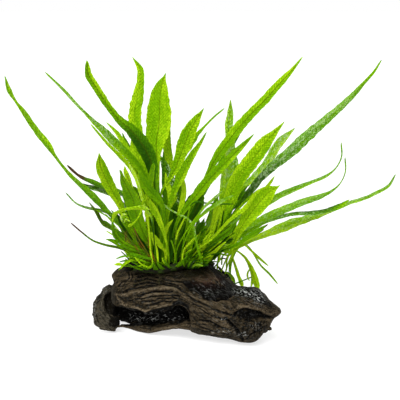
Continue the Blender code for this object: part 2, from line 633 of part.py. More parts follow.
        (208, 232, 3), (224, 214, 5), (240, 200, 6.5), (254, 188, 5), (264, 178, 0.8)]),
    "leaf_back_centre": dict(layer=0.905, turn=35, root=176, seen=[
        (180, 222, 3), (184, 200, 6), (186, 180, 8), (187, 162, 7), (188, 148, 4),
        (189, 138, 0.8)]),
}


def rhizome_of(leaf):
    """Front leaves grow on the front rhizome, and hanging ones on the right one."""
    if leaf["root"] >= 219:
        return "rhizome_right"
    return "rhizome_front" if leaf["layer"] < 0.52 else "rhizome_back"


def stalk_foot(leaf, rhizomes):
    """Where a stalk meets its rhizome, and the direction in which it leaves it."""
    places = rhizomes[rhizome_of(leaf)]
    x = (leaf["root"] - PHOTO_CENTRE) * PIXEL
    nearest = min(range(1, len(places) - 1), key=lambda i: abs(places[i].x - x))
    near = places[nearest]
    other = places[nearest + (1 if x > near.x else -1)]
    share = (x - near.x) / (other.x - near.x)
    middle = near.lerp(other, min(max(share, 0), 1))
    # The nearer a leaf's layer, the further round to the front its stalk stands.
    lowest, highest = {
        "rhizome_front": (0, 0.52),
        "rhizome_back": (0.52, 1),
        "rhizome_right": (0.3, 1),
    }[rhizome_of(leaf)]
    share = (leaf["layer"] - lowest) / (highest - lowest)
    angle = radians(150 - 120 * share)
    away = Vector((0, cos(angle), sin(angle)))
    radius = RHIZOME_RUNS[rhizome_of(leaf)][4] / 1000
    return middle + away * (radius + STALK_GAP), away


def lean_of(layer):
    """How far a leaf of this layer leans away from the viewer at the tallest height."""
    if layer < UPRIGHT_LAYER:
        return NEAR_LEAN * (1 - layer / UPRIGHT_LAYER)
    return FAR_LEAN * (layer - UPRIGHT_LAYER) / (1 - UPRIGHT_LAYER)


def leaf_midline(leaf, rhizomes):
    """Points from the stalk's foot to the tip, and the leaf's seen width at each."""
    foot, away = stalk_foot(leaf, rhizomes)
    lean = lean_of(leaf["layer"])
    start = foot + away * 0.006
    points = [foot, start]
    widths = [1.7, 1.9]
    for i, (column, row, width) in enumerate(leaf["seen"]):
        rise = max(0, BASE_ROW - row) / (BASE_ROW - TOP_ROW)
        reach = leaf.get("reach", 0) / 1000 * min(1, (i + 1) / 3)
        points.append(seen_point(column, row, start.y + lean * rise**1.1 + reach))
        widths.append(width)
    return np.array(points), np.array(widths) * PIXEL


def build_leaf(name, leaf, rhizomes, finish, group):
    """A thin blade with a raised midrib, lofted along its midline."""
    points, widths = leaf_midline(leaf, rhizomes)
    along = distances_along(points)
    count = max(7, round(along[-1] / LEAF_RING_SPACING) + 1)
    stations = np.linspace(0, along[-1], count)
    centres = smooth(along, points, stations)
    runs = np.gradient(centres, stations, axis=0)
    seen_widths = np.maximum(smooth(along, widths, stations), 0.0006)
    rings = []
    for i, (centre, run, seen_width) in enumerate(zip(centres, runs, seen_widths)):
        share = i / (count - 1)
        run = Vector(run).normalized()
        across = Vector((run.z, 0, -run.x)).normalized()
        facing = run.cross(across).normalized()
        turn = radians(leaf["turn"]) * min(1, share * 4 + 0.1)
        turn += 0.10 * sin(5 * share + 9 * leaf["layer"])
        edge = cos(turn) * across + sin(turn) * facing
        front = edge.cross(run).normalized()
        half = seen_width / 2 / max(cos(turn), 0.4)
        thick = LEAF_THICKNESS * (0.75 - 0.45 * share)
        fold = 0.10 * half
        rings.append([
            Vector(centre) + edge * half,
            Vector(centre) + front * (thick - fold),
            Vector(centre) - edge * half,
            Vector(centre) - front * (thick + fold),
        ])
    return loft(name, rings, finish, group)


# Young leaves

# The short leaves that stand out of the longer rhizomes to one side: how many, the length of
# the longest and the width of the widest in millimetres, the side (-1 is the viewer's)
# and how steeply they rise.
YOUNG_LEAVES = {
    "rhizome_front": dict(count=10, length=30, width=5.5, side=-1, rise=0.45),
    "rhizome_back": dict(count=9, length=42, width=6, side=1, rise=0.5),
}


def young_leaf_rings(foot, fan, young, k):
    """A small blade that leaves the rhizome level and bends upward."""
    length = young["length"] / 1000 * (0.55 + 0.45 * sin(2.7 * k + 1) ** 2)
    width = young["width"] / 1000 * (0.60 + 0.40 * cos(1.9 * k) ** 2)
    level = Vector((0.45 * fan, young["side"], 0.22)).normalized()
    risen = Vector((0.85 * fan, 0.45 * young["side"], young["rise"])).normalized()
    rings = []
    for i in range(5):
        t = i / 4
        centre = foot + length * (t * level + t * t * 0.6 * (risen - level))
        run = (level + 1.2 * t * (risen - level)).normalized()
        across = run.cross(Vector((0, 0, 1))).normalized()
        front = across.cross(run)
        half = width / 2 * (0.28 + 0.72 * sin(pi * min(1, 0.15 + 0.85 * t)) ** 0.8)
        half = half if i < 4 else 0.0004
        thick = LEAF_THICKNESS * (0.7 - 0.4 * t)
        rings.append([
            centre + across * half,
            centre + front * (thick + 0.08 * half),
            centre - across * half,
            centre - front * (thick - 0.08 * half),
        ])
    return rings


def build_rhizome(name, places, finish, group, cutters):
    """The rhizome, with its young leaves fused to it where it has some."""
    rhizome = rhizome_tube(name, places, finish, group)
    if name not in YOUNG_LEAVES:
        return
    young = YOUNG_LEAVES[name]
    blades = bmesh.new()
    for k in range(young["count"]):
        share = (k + 0.5) / young["count"]
        at = 1 + share * (len(places) - 3)
        foot = places[int(at)].lerp(places[int(at) + 1], at % 1)
        fan = 1.5 * (share - 0.5) + 0.25 * sin(4.1 * k)
        blade = loft("blade", young_leaf_rings(foot, fan, young, k), finish, cutters)
        blades.from_mesh(blade.data)
        bpy.data.objects.remove(blade, do_unlink=True)
    mesh = bpy.data.meshes.new("young_leaves_of_" + name)
    blades.to_mesh(mesh)
    blades.free()
    young_leaves = bpy.data.objects.new(mesh.name, mesh)
    cutters.objects.link(young_leaves)
    young_leaves.hide_render = True
    young_leaves.display_type = "WIRE"
    joined = rhizome.modifiers.new("young_leaves", "BOOLEAN")
    joined.operation = "UNION"
    joined.use_self = True
    joined.object = young_leaves


def surface_tree(*pieces):
    """A search tree over the surfaces of pieces, with their modifiers applied."""
    bpy.context.view_layer.update()
    depsgraph = bpy.context.evaluated_depsgraph_get()
    joined = bmesh.new()
    for piece in pieces:
        joined.from_object(piece, depsgraph)
    tree = BVHTree.FromBMesh(joined)
    joined.free()
    return tree


def main():
    for old in list(bpy.data.objects):
        bpy.data.objects.remove(old, do_unlink=True)
    plant = collection("java_fern_on_driftwood")
    cutters = collection("cutters")
    wood_finish = material("driftwood", (0.055, 0.042, 0.032), 0.55)
    rhizome_finish = material("rhizome", (0.045, 0.060, 0.015), 0.65)
    leaf_finish = material("leaf", (0.160, 0.360, 0.012), 0.40)

    trunk = build_trunk(wood_finish, plant, cutters)
    lobe = build_lobe(wood_finish, plant)
    limb = build_limb(wood_finish, plant)
    wood = surface_tree(trunk, lobe, limb)

    rhizomes = {name: rhizome_path(wood, name) for name in RHIZOME_RUNS}
    for name, places in rhizomes.items():
        build_rhizome(name, places, rhizome_finish, plant, cutters)
    for name, leaf in LEAVES.items():
        build_leaf(name, leaf, rhizomes, leaf_finish, plant)


main()
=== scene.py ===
# Java fern on driftwood: leaves, wood, rhizomes and roots with their surfaces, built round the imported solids
import math

import bpy
import numpy as np
from mathutils import Matrix, Vector
from mathutils.bvhtree import BVHTree


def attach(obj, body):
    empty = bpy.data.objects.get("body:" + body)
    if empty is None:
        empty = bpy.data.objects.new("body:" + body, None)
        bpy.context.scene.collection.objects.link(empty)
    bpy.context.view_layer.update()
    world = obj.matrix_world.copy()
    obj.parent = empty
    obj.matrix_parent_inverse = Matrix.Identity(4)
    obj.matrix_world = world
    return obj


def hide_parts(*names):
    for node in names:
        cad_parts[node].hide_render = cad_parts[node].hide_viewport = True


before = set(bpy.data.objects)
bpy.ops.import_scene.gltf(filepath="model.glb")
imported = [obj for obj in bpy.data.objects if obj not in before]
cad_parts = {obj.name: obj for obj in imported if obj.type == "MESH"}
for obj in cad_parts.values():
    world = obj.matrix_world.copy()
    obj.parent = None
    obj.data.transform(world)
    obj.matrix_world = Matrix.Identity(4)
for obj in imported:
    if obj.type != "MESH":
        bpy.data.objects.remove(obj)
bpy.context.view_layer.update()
print("frame loaded,", len(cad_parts), "solids")


# The camera, and the places that it sees. Columns and rows are pixels of the photograph, from its top left.
# A table is one list of numbers, with no space inside a group such as column,row or column,row,width

view = {
    "distance": 1.10,  # metres from the camera to the point it looks at
    "tilt": 10.0,  # degrees that it looks down
    "aimHeight": 0.1178,
    "pixel": 0.160 / 188,  # metres to a pixel of the photograph at that point
    "across": 400,  # pixels of the whole photograph
    "sensor": 36.0,
}
tilt = math.radians(view["tilt"])
seenUp = np.array([0, math.sin(tilt), math.cos(tilt)])
seenBack = np.array([0, -math.cos(tilt), math.sin(tilt)])
eye = np.array([0, 0, view["aimHeight"]]) + view["distance"] * seenBack
focal = view["distance"] / view["pixel"]
midPixel = view["across"] / 2


def seenAt(columns, rows, depths):
    # where the line of sight through a pixel meets the upright plane y = depth
    columns, rows, depths = np.broadcast_arrays(np.asarray(columns, float), rows, depths)
    aside, above = (columns - midPixel)[..., None] * [1, 0, 0], (midPixel - rows)[..., None] * seenUp
    ray = aside + above - focal * seenBack
    return eye + ((depths - eye[1]) / ray[..., 1])[..., None] * ray


def pixelOf(points):
    # the pixel that a point is seen at: its offset across and up, divided by its distance
    offset = points - eye
    away = -(offset @ seenBack)
    return midPixel + focal * offset[..., 0] / away, midPixel - focal * (offset @ seenUp) / away


def placed(name, data):
    # an object with that data, in the scene
    made = bpy.data.objects.new(name, data)
    bpy.context.scene.collection.objects.link(made)
    return made


def placeCamera():
    # at the eye, turned to its own axes, with a lens of sensor·focal / pixels across
    lens = bpy.data.cameras.new("photoCamera")
    lens.sensor_width = view["sensor"]
    lens.lens = view["sensor"] * focal / view["across"]
    lens.clip_end = 50
    camera = placed("photoCamera", lens)
    turn = Matrix(([1, 0, 0], seenUp.tolist(), seenBack.tolist())).transposed().to_4x4()
    camera.matrix_world = Matrix.Translation(Vector(eye)) @ turn
    bpy.context.scene.camera = camera


def between(low, high, value):
    # 0 up to low, 1 from high, and 3t² - 2t³ between them
    t = np.clip((value - low) / (high - low), 0, 1)
    return t * t * (3 - 2 * t)


def grouped(numbers, size):
    # one long list as rows of so many numbers
    return np.array(numbers, float).reshape(-1, size)


def follow(table, at):
    # straight lines between groups of place,value
    return np.interp(at, *grouped(table, 2).T)


def softNoise(points, size, seed):
    # random numbers on the corners of a lattice, blended along each axis with 3t² - 2t³
    cells = 24
    lattice = np.random.default_rng(seed).uniform(-1, 1, (cells, cells, cells))
    place = points / size
    low = np.floor(place).astype(int)
    part = place - low
    part = part * part * (3 - 2 * part)
    total = 0
    for corner in np.ndindex(2, 2, 2):
        share = np.prod(np.where(corner, part, 1 - part), axis=-1)
        at = (low + corner) % cells
        total = total + share * lattice[at[..., 0], at[..., 1], at[..., 2]]
    return total


def layeredNoise(points, size, seed, layers=3):
    # each layer has half the size and half the height of the one before
    return sum(softNoise(points, size / 2**k, seed + k) / 2**k for k in range(layers))


def smoothRows(stations, values, at):
    # a cubic through values given at rising stations, with slopes from their neighbours
    slopes = np.gradient(values, stations, axis=0)
    i = np.clip(np.searchsorted(stations, at, side="right") - 1, 0, len(stations) - 2)
    span = stations[i + 1] - stations[i]
    t = (at - stations[i]) / span
    if values.ndim > 1:
        span, t = span[:, None], t[:, None]
    return ((2 * t**3 - 3 * t**2 + 1) * values[i] + (t**3 - 2 * t**2 + t) * span * slopes[i]
            + (3 * t**2 - 2 * t**3) * values[i + 1] + (t**3 - t**2) * span * slopes[i + 1])


def unit(vectors):
    # each vector divided by its length
    return vectors / np.maximum(np.linalg.norm(vectors, axis=-1, keepdims=True), 1e-12)


def distanceAlong(points):
    # the running sum of the gaps between points
    return np.concatenate([[0], np.cumsum(np.linalg.norm(np.diff(points, axis=0), axis=1))])


def distanceTo(path, columns, rows):
    # the shortest distance in pixels from each place to a bent line
    path = grouped(path, 2)
    best = np.full(columns.shape, 1e9)
    for start, end in zip(path, path[1:]):
        run = end - start
        t = np.clip(((columns - start[0]) * run[0] + (rows - start[1]) * run[1]) / (run @ run), 0, 1)
        best = np.minimum(best, np.hypot(columns - start[0] - t * run[0], rows - start[1] - t * run[1]))
    return best


def insideOf(border, soft, columns, rows):
    # 1 inside a closed line and 0 outside, fading across it: the crossings of a ray to the right are counted
    closed = grouped(border + border[:2], 2)
    crossings = np.zeros(columns.shape, int)
    for (x0, y0), (x1, y1) in zip(closed, closed[1:]):
        spanned = (y0 > rows) != (y1 > rows)
        crossings += spanned & (columns < x0 + (rows - y0) * (x1 - x0) / (y1 - y0 if y1 != y0 else 1))
    gap = distanceTo(closed, columns, rows)
    return between(-soft, soft, np.where(crossings % 2 == 1, gap, -gap))


def spots(table, columns, rows):
    # the sum of strength·e^-(across² + down²) over groups of column,row,halfWidth,halfHeight,strength
    return sum(much * np.exp(-(((columns - x) / wide) ** 2 + ((rows - y) / high) ** 2))
               for x, y, wide, high, much in grouped(table, 5))


class Wire:
    # an output of a node; arithmetic on it adds Math nodes
    def __init__(self, shader, socket):
        self.shader, self.socket = shader, socket

    def math(self, operation, *values):
        return self.shader.node("ShaderNodeMath", {"operation": operation}, values)

    def __add__(self, other):
        return self.math("ADD", self, other)

    def __sub__(self, other):
        return self.math("SUBTRACT", self, other)

    def __mul__(self, other):
        return self.math("MULTIPLY", self, other)

    def __rsub__(self, other):
        return self.math("SUBTRACT", other, self)

    def __abs__(self):
        return self.math("ABSOLUTE", self)

    __radd__, __rmul__ = __add__, __mul__


class Shader:
    # a material's nodes
    def __init__(self, name):
        self.material = bpy.data.materials.new(name)
        self.material.use_nodes = True
        self.tree = self.material.node_tree
        self.tree.nodes.clear()

    def node(self, kind, settings, inputs, output=0):
        made = self.tree.nodes.new(kind)
        for name, value in settings.items():
            if name == "stops":
                ramp = made.color_ramp
                while len(ramp.elements) < len(value):
                    ramp.elements.new(1)
                for stop, (place, colour) in zip(ramp.elements, value):
                    stop.position, stop.color = place, (*colour, 1)
            else:
                setattr(made, name, value)
        for name, value in inputs.items() if isinstance(inputs, dict) else enumerate(inputs):
            if isinstance(value, Wire):
                self.tree.links.new(value.socket, made.inputs[name])
            elif isinstance(value, tuple) and made.inputs[name].type == "RGBA":
                made.inputs[name].default_value = (*value, 1)
            else:
                made.inputs[name].default_value = value
        return Wire(self, made.outputs[output])

    def stored(self, name, output="Fac"):
        return self.node("ShaderNodeAttribute", {"attribute_name": name}, {}, output)

    def noise(self, place, scale, detail=2.0, roughness=0.5, distortion=0.0):
        return self.node("ShaderNodeTexNoise", {}, {
            "Vector": place, "Scale": scale, "Detail": detail, "Roughness": roughness,
            "Distortion": distortion})

    def part(self, place, axis):
        return self.node("ShaderNodeSeparateXYZ", {}, [place], "XYZ".index(axis))

    def stretched(self, place, scale):
        return self.node("ShaderNodeVectorMath", {"operation": "MULTIPLY"}, [place, scale])

    def steps(self, value, low, high, first=0.0, last=1.0):
        inputs = [value, low, high, first, last]
        return self.node("ShaderNodeMapRange", {"interpolation_type": "SMOOTHSTEP"}, inputs)

    def ramp(self, value, stops):
        return self.node("ShaderNodeValToRGB", {"stops": stops}, [value])

    def blend(self, share, first, second):
        return self.node("ShaderNodeMix", {"data_type": "RGBA"}, {0: share, 6: first, 7: second}, 2)

    def bump(self, height, strength, distance, under=None):
        inputs = {"Strength": strength, "Distance": distance, "Height": height}
        return self.node("ShaderNodeBump", {}, inputs | ({"Normal": under} if under else {}))

    def finish(self, surface):
        out = self.tree.nodes.new("ShaderNodeOutputMaterial")
        self.tree.links.new(surface.socket, out.inputs["Surface"])
        return self.material

    def dull(self, colour, grain, roughness, strength, distance):
        # a surface with hardly any shine, roughened and raised by its grain
        return self.finish(self.node("ShaderNodeBsdfPrincipled", {}, {
            "Base Color": colour, "Roughness": roughness + (grain - 0.5) * 0.2, "Specular IOR Level": 0.1,
            "Normal": self.bump(grain, strength, distance)}))


def tubeFaces(points):
    # quads between neighbouring rings and a flat face over each end, outwards by the sign of the volume
    rows, around = points.shape[:2]
    i = np.arange(rows - 1)[:, None] * around
    j = np.arange(around)[None]
    k = (j + 1) % around
    quads = np.stack([i + j, i + k, i + k + around, i + j + around], -1).reshape(-1, 4)
    ends = [np.arange(around)[::-1], (rows - 1) * around + np.arange(around)]
    flat = points.reshape(-1, 3) - points.mean((0, 1))
    a, b, c, d = (flat[quads[:, n]] for n in range(4))
    if (np.cross(a, b) * c).sum() + (np.cross(a, c) * d).sum() < 0:
        quads, ends = quads[:, ::-1], [end[::-1] for end in ends]
    return quads.tolist() + [end.tolist() for end in ends]


def addPiece(name, mesh, values, material, replaced=()):
    # the values are what the material reads, a number or a vector for each point
    mesh.polygons.foreach_set("use_smooth", np.ones(len(mesh.polygons), bool))
    for key, value in values.items():
        vector = value.ndim > 1
        layer = mesh.attributes.new(key, "FLOAT_VECTOR" if vector else "FLOAT", "POINT")
        layer.data.foreach_set("vector" if vector else "value", value.astype(np.float32).ravel())
    mesh.materials.clear()
    mesh.materials.append(material)
    piece = placed(name, mesh)
    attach(piece, "root")
    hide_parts(*replaced)


def joinTubes(tubes, points, faces):
    # each grid of points becomes a closed tube beside what is there already
    first = sum(len(grid) for grid in points)
    for grid in tubes:
        points.append(grid.reshape(-1, 3))
        faces += [[first + n for n in face] for face in tubeFaces(grid)]
        first += len(points[-1])
    return np.concatenate(points).tolist(), [], faces


def addTubes(name, tubes, material, replaced=()):
    # closed tubes side by side in one mesh; a tube is its grid of points and its values on that grid
    mesh = bpy.data.meshes.new(name)
    mesh.from_pydata(*joinTubes([grid for grid, _ in tubes], [], []))
    values = {}
    for grid, more in tubes:
        for key, value in more.items():
            whole = np.broadcast_to(value, grid.shape[:2] + np.shape(value)[2:])
            values.setdefault(key, []).append(whole.reshape((-1,) + whole.shape[2:]))
    joined = {key: np.concatenate(value) for key, value in values.items()}
    addPiece(name, mesh, joined, material, replaced)


def topOf(wood, x, y, bare):
    # the height where a ray from above meets the wood, and the bare value where it misses
    hit = wood.ray_cast(Vector((x, y, 0.2)), Vector((0, 0, -1)))[0]
    return hit.z if hit else bare


def nodeTriangles(name):
    # a solid's points, each kept once, and its triangles
    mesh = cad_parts[name].data
    points = np.empty(len(mesh.vertices) * 3, np.float32)
    mesh.vertices.foreach_get("co", points)
    corners = np.empty(len(mesh.loops), np.int32)
    mesh.loops.foreach_get("vertex_index", corners)
    kept, same = np.unique(np.round(points.reshape(-1, 3).astype(float), 6), axis=0, return_inverse=True)
    return kept, same.ravel()[corners].reshape(-1, 3)


# The long leaves. A leaf's look says only where it differs from leafLook

bladeShape = {
    "body": 0.00022,  # half the blade's thickness at its middle
    "ribHeight": 0.00040,  # how far the midrib stands out below
    "ribWidth": 0.00065,
    "ribAbove": -0.25,  # how far it shows on the upper face, to its height below
    "ribFade": 0.002,  # half width at which it has half its height
    "stalk": 0.00085,  # half width under which a leaf is a round stalk
    "stalkBody": 0.00060,  # half a stalk's thickness at most
    "thinnest": 0.0003,  # half width at least
    "endHalf": 0.0005,  # half width at least where the solid ends
    "rounding": 0.0016,  # metres over which the tip rounds off
    "thinning": 0.0012,  # half width under which the blade thins
    "fold": 0.20,  # how far the middle sinks, to half the width
    "ruffle": 0.10,  # how far the edges wave, to half the width
    "notch": 0.11,  # how much the width varies
    "tip": 0.0014,  # metres that a leaf runs on past its last ring
    "rippleLength": 0.0115,
    "slow": (0.7, 1.7),  # lengths of the waves up and down, to that
    "quick": (0.30, 1.1),  # and in and out
    "ripples": [0.55, 0.35, 0.25],  # strength of each ripple of an edge
    "split": 0.07,  # how much the two halves differ in tint
    "rim": 0.18,  # how much lighter the edges are: partly a paler margin, partly a painted rim highlight
    "shifted": (0.05, 0.35),  # shares of the length between which a leaf is moved
    "footEnd": 0.35,  # share of the length that has the painted foot shade
    "wetSoft": 0.08,  # share over which the wet sheen fades
    "deadSoft": 0.003,
}

leafLook = {
    "tint": 0.55,  # 0 dark to 1 yellow-green; "tints" gives it as share-of-the-length,tint instead
    "tipTint": 0.0,  # how much lighter the tip is
    "shaded": 0.14,  # painted shade: how much darker the foot is, where the clump shades it
    "rib": 0.4,  # how brown the midrib is
    "wet": 0.0,  # wet, with a painted pale sheen, between two shares of the length
    "wetFrom": 0.0,
    "wetTo": 1.0,
    "dead": 0.0,  # how brown it is; "deads" gives it as share,value instead
    "deadTip": 0.0,  # metres of brown tip
    "wave": 1.0,  # how much the edges wave and vary; "widths" scales the solid's width by share,factor
    "shift": (0, 0),  # pixels that it is moved right and down past its foot
    "step": 0.0016,  # metres between rings
    "across": 13,  # points from edge to edge
}

leafPaint = {
    "deep": (0.012, 0.062, 0.000),
    "dark": (0.045, 0.160, 0.000),
    "green": (0.122, 0.335, 0.000),
    "bright": (0.262, 0.545, 0.000),
    "yellow": (0.600, 0.900, 0.010),
    # the painted pale sheen of a wet blade
    "paintedSheen": (0.450, 0.620, 0.280),
    "rib": (0.080, 0.062, 0.002),
    "dead": (0.062, 0.034, 0.010),
    "through": (0.36, 0.58, 0.00),  # light that comes through a blade
    "throughDark": 0.19,  # share of it in a dark leaf
    "throughBright": 0.46,
    "roughness": 0.55,
    "speckle": 0.54,  # how strongly the green varies: fine, broad, between veins and in their net
    "cloud": 0.45,
    "vein": 0.13,
    "pillow": 0.08,
}


def leafMaterial():
    # green = tint + spots + clouds - veins, with a painted pale sheen where it is wet, a brown rib and dead
    # patches over it
    s = Shader("fernLeaf")
    p = leafPaint
    place = s.stored("blade", "Vector")  # millimetres across and along, and a number of its own
    tint, wet, rib, dead = (s.stored(name) for name in ("tint", "wet", "rib", "dead"))
    across = abs(s.part(place, "X"))
    along = s.part(place, "Y")
    speckle = s.noise(s.stretched(place, (1, 0.60, 1)), 0.95, 3, 0.66)
    cloud = s.noise(s.stretched(place, (0.5, 0.12, 1)), 0.5, 2, 0.5)
    quilt = s.noise(s.stretched(place, (1, 0.6, 1)), 0.42, 2, 0.55)
    cell = s.node("ShaderNodeTexVoronoi", {"feature": "DISTANCE_TO_EDGE"}, {
        "Vector": s.stretched(place, (1, 0.7, 1)), "Scale": 0.40})  # the net of veins
    pillow = s.steps(cell, 0.0, 0.30)
    slant = s.node("ShaderNodeMath", {"operation": "PINGPONG"}, [along - across * 1.25 + speckle * 1.4, 1.5])
    vein = s.steps(slant, 0.0, 0.42, 1.0, 0.0)
    shade = (tint + (speckle - 0.5) * p["speckle"] + (cloud - 0.5) * p["cloud"] - vein * p["vein"]
             + (pillow - 0.6) * p["pillow"])
    green = s.ramp(shade, [
        (0.00, p["deep"]), (0.25, p["dark"]), (0.52, p["green"]), (0.80, p["bright"]), (1.00, p["yellow"])])
    # painted sheen: pale patches where the blade is wet
    sheenPatch = wet * s.steps(quilt + (speckle - 0.5) * 1.2, 0.50, 0.60)
    colour = s.blend(sheenPatch * 0.72, green, p["paintedSheen"])
    ribLine = s.steps(across, 0.08, 0.45, 1.0, 0.0) * rib
    colour = s.blend(ribLine * 0.85, colour, p["rib"])
    colour = s.blend(dead * s.steps(speckle + dead, 0.45, 0.75), colour, p["dead"])
    height = quilt * 0.6 + speckle * 0.4 + vein * 0.3 + pillow * 0.5 - ribLine * 0.4
    surface = s.node("ShaderNodeBsdfPrincipled", {}, {
        "Base Color": colour, "Roughness": p["roughness"] - wet * 0.25 + (speckle - 0.5) * 0.12,
        "Specular IOR Level": 0.06, "Coat Weight": wet * 0.35, "Coat Roughness": 0.22,
        "Normal": s.bump(height, 1.0, 0.0012)})
    through = s.node("ShaderNodeBsdfTranslucent", {}, {"Color": p["through"]})
    share = s.steps(tint, 0.0, 0.8, p["throughDark"], p["throughBright"]) * (1 - dead) * (1 - sheenPatch * 0.5)
    return s.finish(s.node("ShaderNodeMixShader", {}, [share, surface, through]))


def bladeTube(centres, sides, halves, look, seed):
    # rings along a midline; each ring runs over the upper face from edge to edge and back below.
    # height = -fold·half·(1 - |u|^1.4) + ruffle·half·|u|^1.6·waves ± thickness·√(1 - u²), u = -1 … 1 across
    b, look = bladeShape, leafLook | look
    rng = np.random.default_rng(seed)
    right, down = np.array(look["shift"]) * view["pixel"]
    rise = np.linspace(0, 1, len(centres))[:, None]
    centres = centres + between(*b["shifted"], rise) * (right * np.array([1, 0, 0]) - down * seenUp)
    if "widths" in look:
        halves = halves * follow(look["widths"], rise[:, 0])
    centres = np.vstack([centres, centres[-1] + unit(centres[-1] - centres[-2]) * b["tip"]])
    sides, halves = np.vstack([sides, sides[-1:]]), np.append(np.maximum(halves, b["endHalf"]), b["thinnest"])
    given = distanceAlong(centres)
    at = np.linspace(0, given[-1], max(9, int(given[-1] / look["step"])))
    middle = smoothRows(given, centres, at)
    run = unit(np.gradient(middle, at, axis=0))
    side = unit(smoothRows(given, sides, at))
    side = unit(side - (side * run).sum(1)[:, None] * run)
    face = np.cross(side, run)
    half = np.maximum(smoothRows(given, halves, at), b["thinnest"])
    half = half * np.clip((given[-1] - at + b["rounding"] / 8) / b["rounding"], 0, 1) ** 0.5
    blade = between(b["stalk"], 2.2 * b["stalk"], half)  # 0 on a stalk, 1 on a blade
    u = np.sin(np.pi / 2 * np.linspace(-1, 1, look["across"]))
    u = np.concatenate([u, u[-2:0:-1]])
    level = np.where(np.arange(len(u)) < (len(u) + 2) // 2, 1.0, -1.0)
    # each edge has slow waves up and down, and quicker ones in and out
    waves = []
    for _ in range(2):
        lengths = b["rippleLength"] * rng.uniform(*b["slow"], 3)
        phases = rng.uniform(0, 2 * np.pi, 3)
        waves.append(np.sin(2 * np.pi * at[:, None] / lengths + phases) @ b["ripples"])
    lengths, phases = b["rippleLength"] * rng.uniform(*b["quick"], 8), rng.uniform(0, 2 * np.pi, 8)
    notches = np.sin(2 * np.pi * at[:, None] / lengths + phases)
    leftward = u[:, None] < 0
    notches = np.where(leftward, notches[:, :4].mean(1), notches[:, 4:].mean(1))
    x = half[:, None] * u * (1 + b["notch"] * look["wave"] * (blade * notches).T * np.abs(u))
    ruffles = (blade * half * np.where(leftward, waves[0], waves[1])).T
    lift = (-b["fold"] * (1 - np.abs(u) ** 1.4) * (blade * half)[:, None]
            + b["ruffle"] * look["wave"] * np.abs(u) ** 1.6 * ruffles)
    stalk = np.minimum(half, b["stalkBody"])[:, None] * np.sqrt(1 - u * u)
    flat = b["body"] * np.sqrt(1 - u * u) * np.minimum(1, half / b["thinning"])[:, None]
    ridge = b["ribHeight"] * np.exp(-((x / b["ribWidth"]) ** 2)) * np.where(level > 0, b["ribAbove"], 1.0)
    ridge = ridge * (half / (half + b["ribFade"]))[:, None]
    thick = (1 - blade)[:, None] * stalk + blade[:, None] * (flat + ridge)
    grid = middle[:, None] + side[:, None] * x[..., None] + face[:, None] * (lift + level * thick)[..., None]
    # what the material reads
    share, soft = at / at[-1], b["wetSoft"]
    wet = look["wet"] * between(look["wetFrom"] - soft, look["wetFrom"] + soft, share)
    wet = wet * (1 - between(look["wetTo"] - soft, look["wetTo"] + soft, share))
    brown, soft = look["deadTip"], b["deadSoft"]
    dead = between(-brown - soft, -brown + soft, at - at[-1]) if brown else 0 * at
    dead = np.maximum(dead, follow(look.get("deads", [0, look["dead"]]), share))
    # painted shade: the foot is darker by shaded, fading out by footEnd
    tint = look["tint"] + look["tipTint"] * share - look["shaded"] * (1 - between(0.0, b["footEnd"], share))
    if "tints" in look:
        tint = follow(look["tints"], share)
    split = look.get("split", b["split"] * (1 if seed % 2 else -1))
    # the two halves differ in tint, and the edges are lighter: partly a paler margin, partly a painted rim
    # highlight
    tint = tint[:, None] + blade[:, None] * (split * np.tanh(3 * u) + b["rim"] * np.abs(u) ** 8)
    along = np.broadcast_to(at[:, None] * 1000, x.shape)
    own = np.full(x.shape, seed % 97 * 7.3)  # a place of its own in the patterns
    return grid, {"blade": np.stack([x * 1000, along, own], -1), "tint": tint, "wet": wet[:, None],
                  "dead": dead[:, None], "rib": (look["rib"] * blade)[:, None]}


def leafRings(name, roots):
    # a leaf's solid as rings of four points: each step takes the untouched neighbours of the last ring.
    # Of the two pairs in a ring that cross at its middle, one joins the edges
    points, triangles = nodeTriangles(name)
    touching = np.zeros((len(points), len(points)), bool)
    touching[triangles, np.roll(triangles, 1, axis=1)] = True
    touching |= touching.T
    first = np.argmax(np.linalg.norm(points - points.mean(0), axis=1))
    rings = [np.argsort(np.linalg.norm(points - points[first], axis=1))[:4]]
    free = np.ones(len(points), bool)
    while True:
        free[rings[-1]] = False
        reached = np.flatnonzero(touching[rings[-1]].any(0) & free)
        if len(reached) == 0:
            break
        rings.append(reached)
    corners = points[np.array(rings)]
    pairs = np.array([[[0, 1], [2, 3]], [[0, 2], [1, 3]], [[0, 3], [1, 2]]])
    middles = corners[:, pairs].mean(3)
    best = np.argmin(np.linalg.norm(middles[:, :, 0] - middles[:, :, 1], axis=2), axis=1)
    chosen = corners[np.arange(len(corners))[:, None, None], pairs[best]]
    crossing, middle = chosen[:, :, 1] - chosen[:, :, 0], chosen.mean(2)
    lengths = np.linalg.norm(crossing, axis=2)
    widest = np.argmax(lengths.max(1))
    edges, centres = np.empty((len(rings), 3)), np.empty((len(rings), 3))
    pick = np.argmax(lengths[widest])
    edges[widest], centres[widest] = crossing[widest, pick], middle[widest, pick]
    for order in (range(widest + 1, len(rings)), range(widest - 1, -1, -1)):
        last = unit(edges[widest])
        for i in order:
            along = unit(crossing[i]) @ last
            pick = np.argmax(np.abs(along))
            edges[i], centres[i] = crossing[i, pick] * np.sign(along[pick]), middle[i, pick]
            last = unit(edges[i])
    ends = np.linalg.norm(centres[[0, -1], None] - roots[None], axis=2).min(1)
    if ends[1] < ends[0]:
        edges, centres = edges[::-1], centres[::-1]
    return centres, unit(edges), np.linalg.norm(edges, axis=1) / 2


